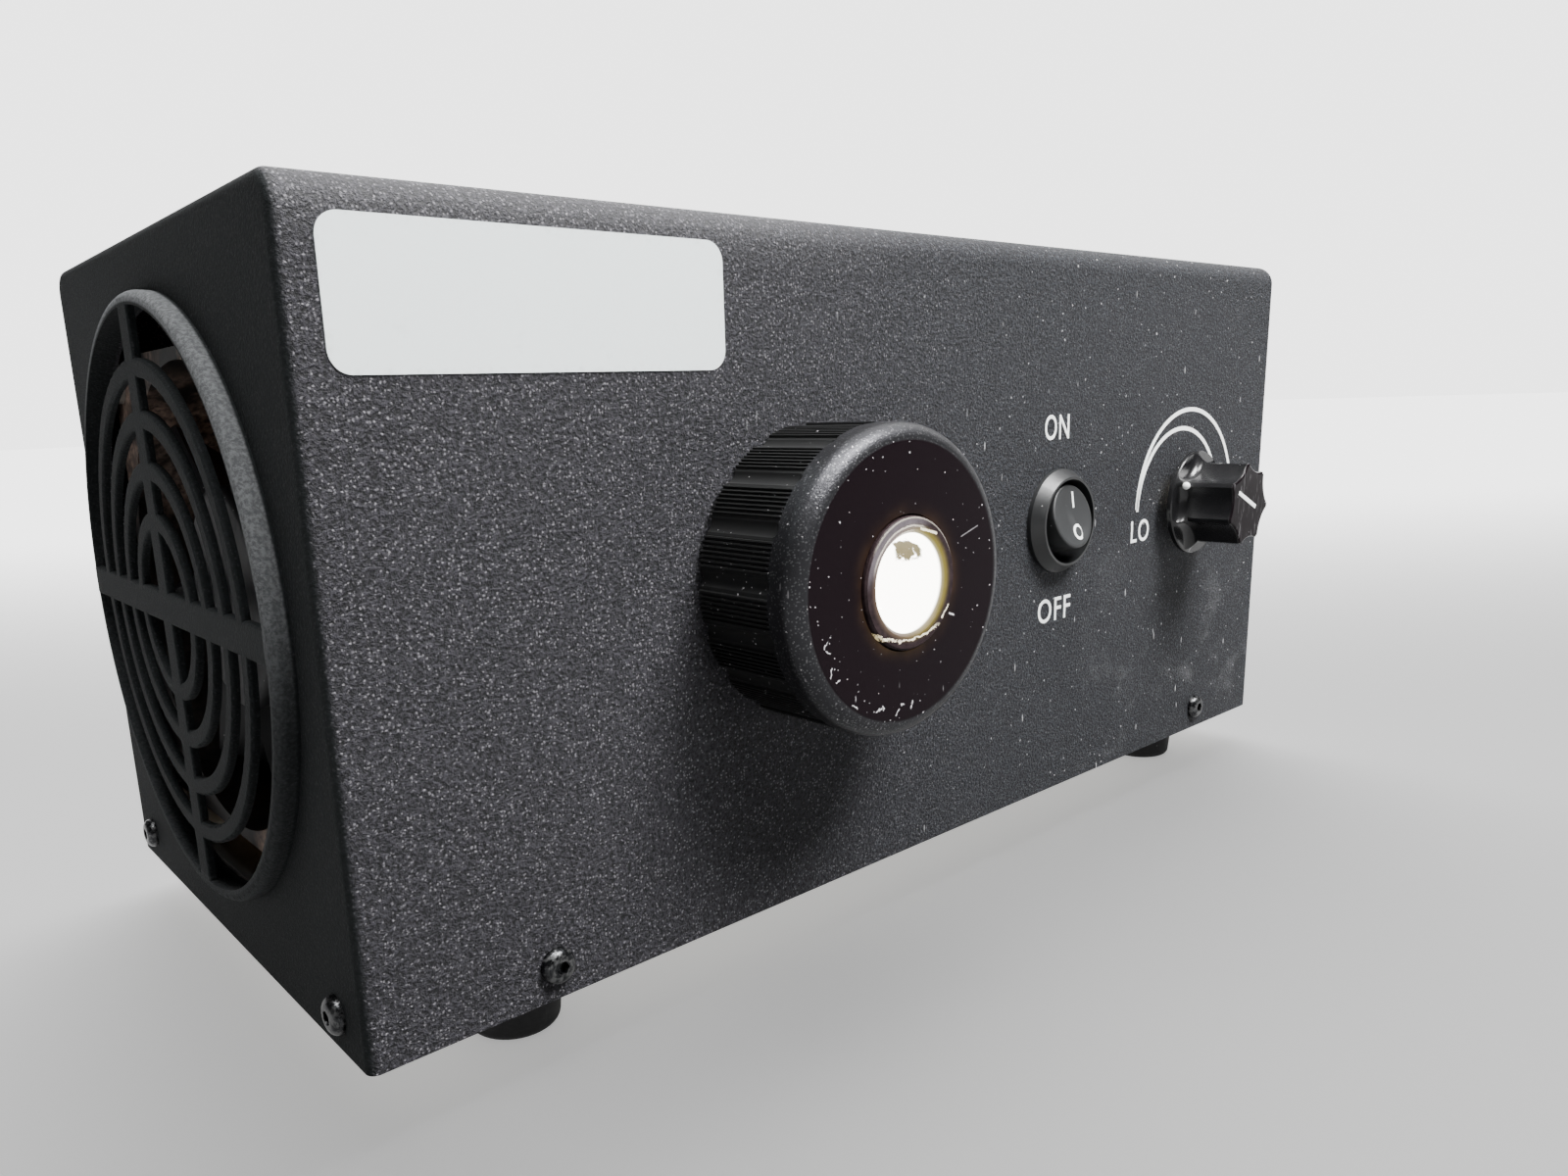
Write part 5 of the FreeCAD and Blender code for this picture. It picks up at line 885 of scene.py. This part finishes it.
class ILLUMINATOR_OT_fan_finish(bpy.types.Operator):
    """Finish the fan behind its guard"""
    bl_idname = "illuminator.fan_finish"
    bl_label = "Finish the Fan"

    def execute(self, context):
        frame_patches_and_painted_light()
        moulded("fan_plastic", ("fan_impeller",), (0.012, 0.012, 0.013), 0.45, 0.4)
        moulded("sintered_bronze", ("fan_bearing",), (0.30, 0.21, 0.11), 0.45)
        wound_copper("fan_stator", "filter_choke", "transformer_coil")
        return {"FINISHED"}


class ILLUMINATOR_OT_controls_finish(bpy.types.Operator):
    """Finish the power switch and the dimmer's knob"""
    bl_idname = "illuminator.controls_finish"
    bl_label = "Finish the Controls"

    def execute(self, context):
        finishes = context.scene.illuminator_finishes
        moulded("switch_plastic", ("switch_housing",), finishes.rocker, 0.36, 0.25, 0.1)
        moulded("rocker_plastic", ("switch_rocker",), shaded(finishes.rocker, 1.6), 0.46, 0.2)
        dimmer_gloss(finishes)
        plated_steel("plated_contacts", (0.66, 0.60, 0.48),
                     ("switch_terminals", "bushing_nut", "board_standoffs", "inlet_blades"),
                     0.22, 0.003)
        return {"FINISHED"}


class ILLUMINATOR_OT_electrics_finish(bpy.types.Operator):
    """Finish the transformer, dimmer board, mains inlet and leads"""
    bl_idname = "illuminator.electrics_finish"
    bl_label = "Finish the Electrics"

    def execute(self, context):
        laminated_steel()
        circuit_board()
        moulded("blue_case", ("film_capacitor", "terminal_block"), (0.03, 0.09, 0.28), 0.35)
        moulded("inlet_plastic", ("inlet_body", "fuse_drawer"), (0.014, 0.014, 0.015), 0.38, 0.35)
        moulded("fuse_glass", ("fuses",), (0.62, 0.64, 0.62), 0.12)
        moulded("lead_cover", ("wiring_leads",), (0.40, 0.38, 0.35), 0.5)
        return {"FINISHED"}


class ILLUMINATOR_OT_panel_words(bpy.types.Operator):
    """Print ON and OFF by the switch and LO and HI by the dimmer"""
    bl_idname = "illuminator.panel_words"
    bl_label = "Print the Words"

    def execute(self, context):
        ink = context.scene.illuminator_ink
        material = white_ink(context.scene.illuminator_finishes)
        words = (("ink_on", "ON", SWITCH, ink.on_place, ink.on_width),
                 ("ink_off", "OFF", SWITCH, ink.off_place, ink.off_width),
                 ("ink_lo", "LO", DIMMER, ink.lo_place, ink.lo_width),
                 ("ink_hi", "HI", DIMMER, ink.hi_place, ink.hi_width))
        for name, text, control, (right, rise), width in words:
            letters = word(text, control.x + right, control.z + rise, width, ink)
            settle(letters, name, "case", material)
        return {"FINISHED"}


class ILLUMINATOR_OT_dial_strokes(bpy.types.Operator):
    """Print the two strokes that spread apart from LO to HI"""
    bl_idname = "illuminator.dial_strokes"
    bl_label = "Print the Dial"

    def execute(self, context):
        ink = context.scene.illuminator_ink
        material = bpy.data.materials["white_ink"]
        strokes = (("dial_outer", ink.outer_radius, ink.outer_place),
                   ("dial_inner", ink.inner_radius, ink.inner_place))
        for name, radius, (right, rise) in strokes:
            centre = Vector((DIMMER.x + right, 0, DIMMER.z + rise))
            stroke = swept_bar((centre.x - radius, PANEL - ink.ink / 2, centre.z),
                               (ink.stroke, ink.ink), centre, -ink.dial_sweep, ARC_STEPS)
            turn_piece(stroke, ink.dial_start, "Y", centre)
            settle(stroke, name, "case", material)
        return {"FINISHED"}


class ILLUMINATOR_OT_rocker_marks(bpy.types.Operator):
    """Inlay the I and O marks in the rocker"""
    bl_idname = "illuminator.rocker_marks"
    bl_label = "Mark the Rocker"

    def execute(self, context):
        marks = context.scene.illuminator_marks
        material = bpy.data.materials["white_ink"]
        joints = frame["record"]["behaviour"]["joints"]
        hinge = next(joint for joint in joints if joint["name"] == "rocker_tilt")
        pivot = Vector(hinge["pos_m"])
        tilt = math.radians(hinge["range_deg"][1] / 2)
        dish = pivot.y - marks.rocker_rise + marks.dish_depth
        sphere = Vector((pivot.x, dish - marks.dish_radius, pivot.z))
        reach = math.asin(marks.mark_offset / marks.dish_radius)
        middle_x = pivot.x + marks.mark_aside
        ring_radius = (marks.mark_height - marks.mark_line) / 2
        on = bar((middle_x, dish, pivot.z), (marks.mark_line, marks.mark_depth, marks.mark_height),
                 marks.mark_depth / 4)
        off = swept_bar((middle_x + ring_radius, dish, pivot.z),
                        (marks.mark_line, marks.mark_depth), (middle_x, dish, pivot.z),
                        2 * math.pi, RING_STEPS)
        for name, mark, side in (("mark_on", on, 1), ("mark_off", off, -1)):
            turn_piece(mark, side * reach, "X", sphere)
            turn_piece(mark, -tilt, "X", pivot)
            settle(mark, name, "power_rocker", material)
        return {"FINISHED"}


class ILLUMINATOR_OT_pointer_marks(bpy.types.Operator):
    """Fill the line on the dimmer knob's face and the dot on its skirt"""
    bl_idname = "illuminator.pointer_marks"
    bl_label = "Mark the Dimmer"

    def execute(self, context):
        marks = context.scene.illuminator_marks
        material = bpy.data.materials["white_ink"]
        centre = Vector((DIMMER.x, 0, DIMMER.z))
        line = bar((DIMMER.x - marks.pointer_start + marks.pointer_length / 2,
                    DIMMER_FACE - marks.pointer_rise, DIMMER.z - marks.pointer_aside),
                   (marks.pointer_length, marks.pointer_depth, marks.pointer_width),
                   marks.pointer_depth / 3)
        turn_piece(line, -marks.pointer_angle, "Y", centre)
        settle(line, "pointer_line", "dimmer", material)
        nothing_selected()
        place = (DIMMER.x + marks.dot_reach, DIMMER_FACE + marks.dot_setback, DIMMER.z)
        around, along = DOT_STEPS
        bpy.ops.mesh.primitive_uv_sphere_add(segments=around, ring_count=along,
                                             radius=marks.dot_radius, location=place)
        dot = bpy.context.object
        apply_place()
        turn_piece(dot, -marks.dot_angle, "Y", centre)
        settle(dot, "pointer_dot", "dimmer", material)
        return {"FINISHED"}


SENSOR_WIDTH = 36.0  # mm
NEAREST_SEEN = 10.0 * MM
AHEAD = (0.64, 0.77)  # the way the camera looks across the floor
GLOW_SPAN = (0.06, 0.75)  # how far that way the floor starts and stops growing brighter
WHITE_RIGHT = (-0.12, 0.06)  # where along X and Y the room turns from dim to white
WHITE_BEHIND = (-0.15, 0.16)


def soft_light(name, place, target, size, power, spared):
    """A soft box at place, aimed at target, that leaves the spared things unlit."""
    nothing_selected()
    bpy.ops.object.light_add(type="AREA", location=place)
    light = bpy.context.object
    light.name = name
    light.data.shape = "RECTANGLE"
    light.data.size, light.data.size_y = size
    light.data.energy = power
    light.rotation_euler = (Vector(target) - Vector(place)).to_track_quat("-Z", "Y").to_euler()
    light.light_linking.receiver_collection = spared


def studio_floor(studio):
    """White paper that grows brighter away from the camera."""
    f = Finish("studio_floor")
    x, y, _ = f.axes()
    sweep = f.step(AHEAD[0] * x + AHEAD[1] * y, *GLOW_SPAN)
    f.set(Base_Color=f.blend(f.noise(0.4, 2.0) * 0.3, (0.86, 0.86, 0.86), (0.82, 0.82, 0.82)),
          Roughness=0.9, Specular_IOR_Level=0.1,
          Emission_Color=f.blend(sweep, (0.15, 0.15, 0.15), (1.0, 1.0, 1.0)),
          Emission_Strength=studio.floor_glow)
    return f.material


def backdrop(studio):
    """A world that is white behind the object and dim on its dark side."""
    world = bpy.data.worlds.new("studio_world")
    world.use_nodes = True
    graph = Graph(world.node_tree, "Generated")
    x, y, _ = graph.axes()
    white = graph.step(x, *WHITE_RIGHT) * graph.step(y, *WHITE_BEHIND)
    surface = graph.tree.nodes["Background"]
    graph.join(surface.inputs["Color"], (1.0, 1.0, 1.0))
    graph.join(surface.inputs["Strength"], white * (studio.backdrop - studio.dim) + studio.dim)
    return world


class ILLUMINATOR_OT_studio(bpy.types.Operator):
    """Lay the floor, hang the soft lights and set up the camera"""
    bl_idname = "illuminator.studio"
    bl_label = "Set Up the Studio"

    def execute(self, context):
        studio = context.scene.illuminator_studio
        nothing_selected()
        bpy.ops.mesh.primitive_plane_add(size=studio.floor_size, location=(0, 0, 0))
        floor = bpy.context.object
        floor.name = "studio_floor"
        floor.data.materials.append(studio_floor(studio))
        context.scene.world = backdrop(studio)
        spared = bpy.data.collections.new("lights_spare_floor")
        spared.objects.link(floor)
        spared.collection_objects[0].light_linking.link_state = "EXCLUDE"
        soft_light("overhead", studio.overhead_place, studio.overhead_aim, studio.overhead_size,
                   studio.overhead, spared)
        soft_light("key", studio.key_place, studio.key_aim, studio.key_size, studio.key, spared)
        bpy.ops.object.camera_add(location=studio.eye, rotation=studio.look)
        camera = bpy.context.object
        camera.name = "studio_camera"
        camera.data.sensor_width = SENSOR_WIDTH
        camera.data.lens = studio.lens
        camera.data.shift_x, camera.data.shift_y = studio.shift
        camera.data.clip_start = NEAREST_SEEN
        context.scene.camera = camera
        return {"FINISHED"}


STEPS = (
    ILLUMINATOR_OT_case_finish, ILLUMINATOR_OT_clamp_finish, ILLUMINATOR_OT_lamp_finish,
    ILLUMINATOR_OT_fan_finish, ILLUMINATOR_OT_controls_finish, ILLUMINATOR_OT_electrics_finish,
    ILLUMINATOR_OT_panel_words, ILLUMINATOR_OT_dial_strokes, ILLUMINATOR_OT_rocker_marks,
    ILLUMINATOR_OT_pointer_marks, ILLUMINATOR_OT_studio,
)
GROUPS = {
    "illuminator_ink": PanelInk,
    "illuminator_marks": ControlMarks,
    "illuminator_finishes": Finishes,
    "illuminator_studio": Studio,
}


class ILLUMINATOR_PT_panel(bpy.types.Panel):
    """The illuminator's sizes, colours and steps"""
    bl_label = "Illuminator"
    bl_idname = "ILLUMINATOR_PT_panel"
    bl_space_type = "VIEW_3D"
    bl_region_type = "UI"
    bl_category = "Illuminator"

    def draw(self, context):
        for name, group in GROUPS.items():
            box = self.layout.box()
            for key in group.__annotations__:
                box.prop(getattr(context.scene, name), key)
        for step in STEPS:
            self.layout.operator(step.bl_idname)


def register():
    for group in GROUPS.values():
        bpy.utils.register_class(group)
    for name, group in GROUPS.items():
        setattr(bpy.types.Scene, name, PointerProperty(type=group))
    for step in STEPS:
        bpy.utils.register_class(step)
    bpy.utils.register_class(ILLUMINATOR_PT_panel)


def unregister():
    bpy.utils.unregister_class(ILLUMINATOR_PT_panel)
    for step in reversed(STEPS):
        bpy.utils.unregister_class(step)
    for name in GROUPS:
        delattr(bpy.types.Scene, name)
    for group in GROUPS.values():
        bpy.utils.unregister_class(group)


def main():
    register()
    for step in STEPS:
        family, action = step.bl_idname.split(".")
        getattr(getattr(bpy.ops, family), action)()


if __name__ == "__main__":
    main()
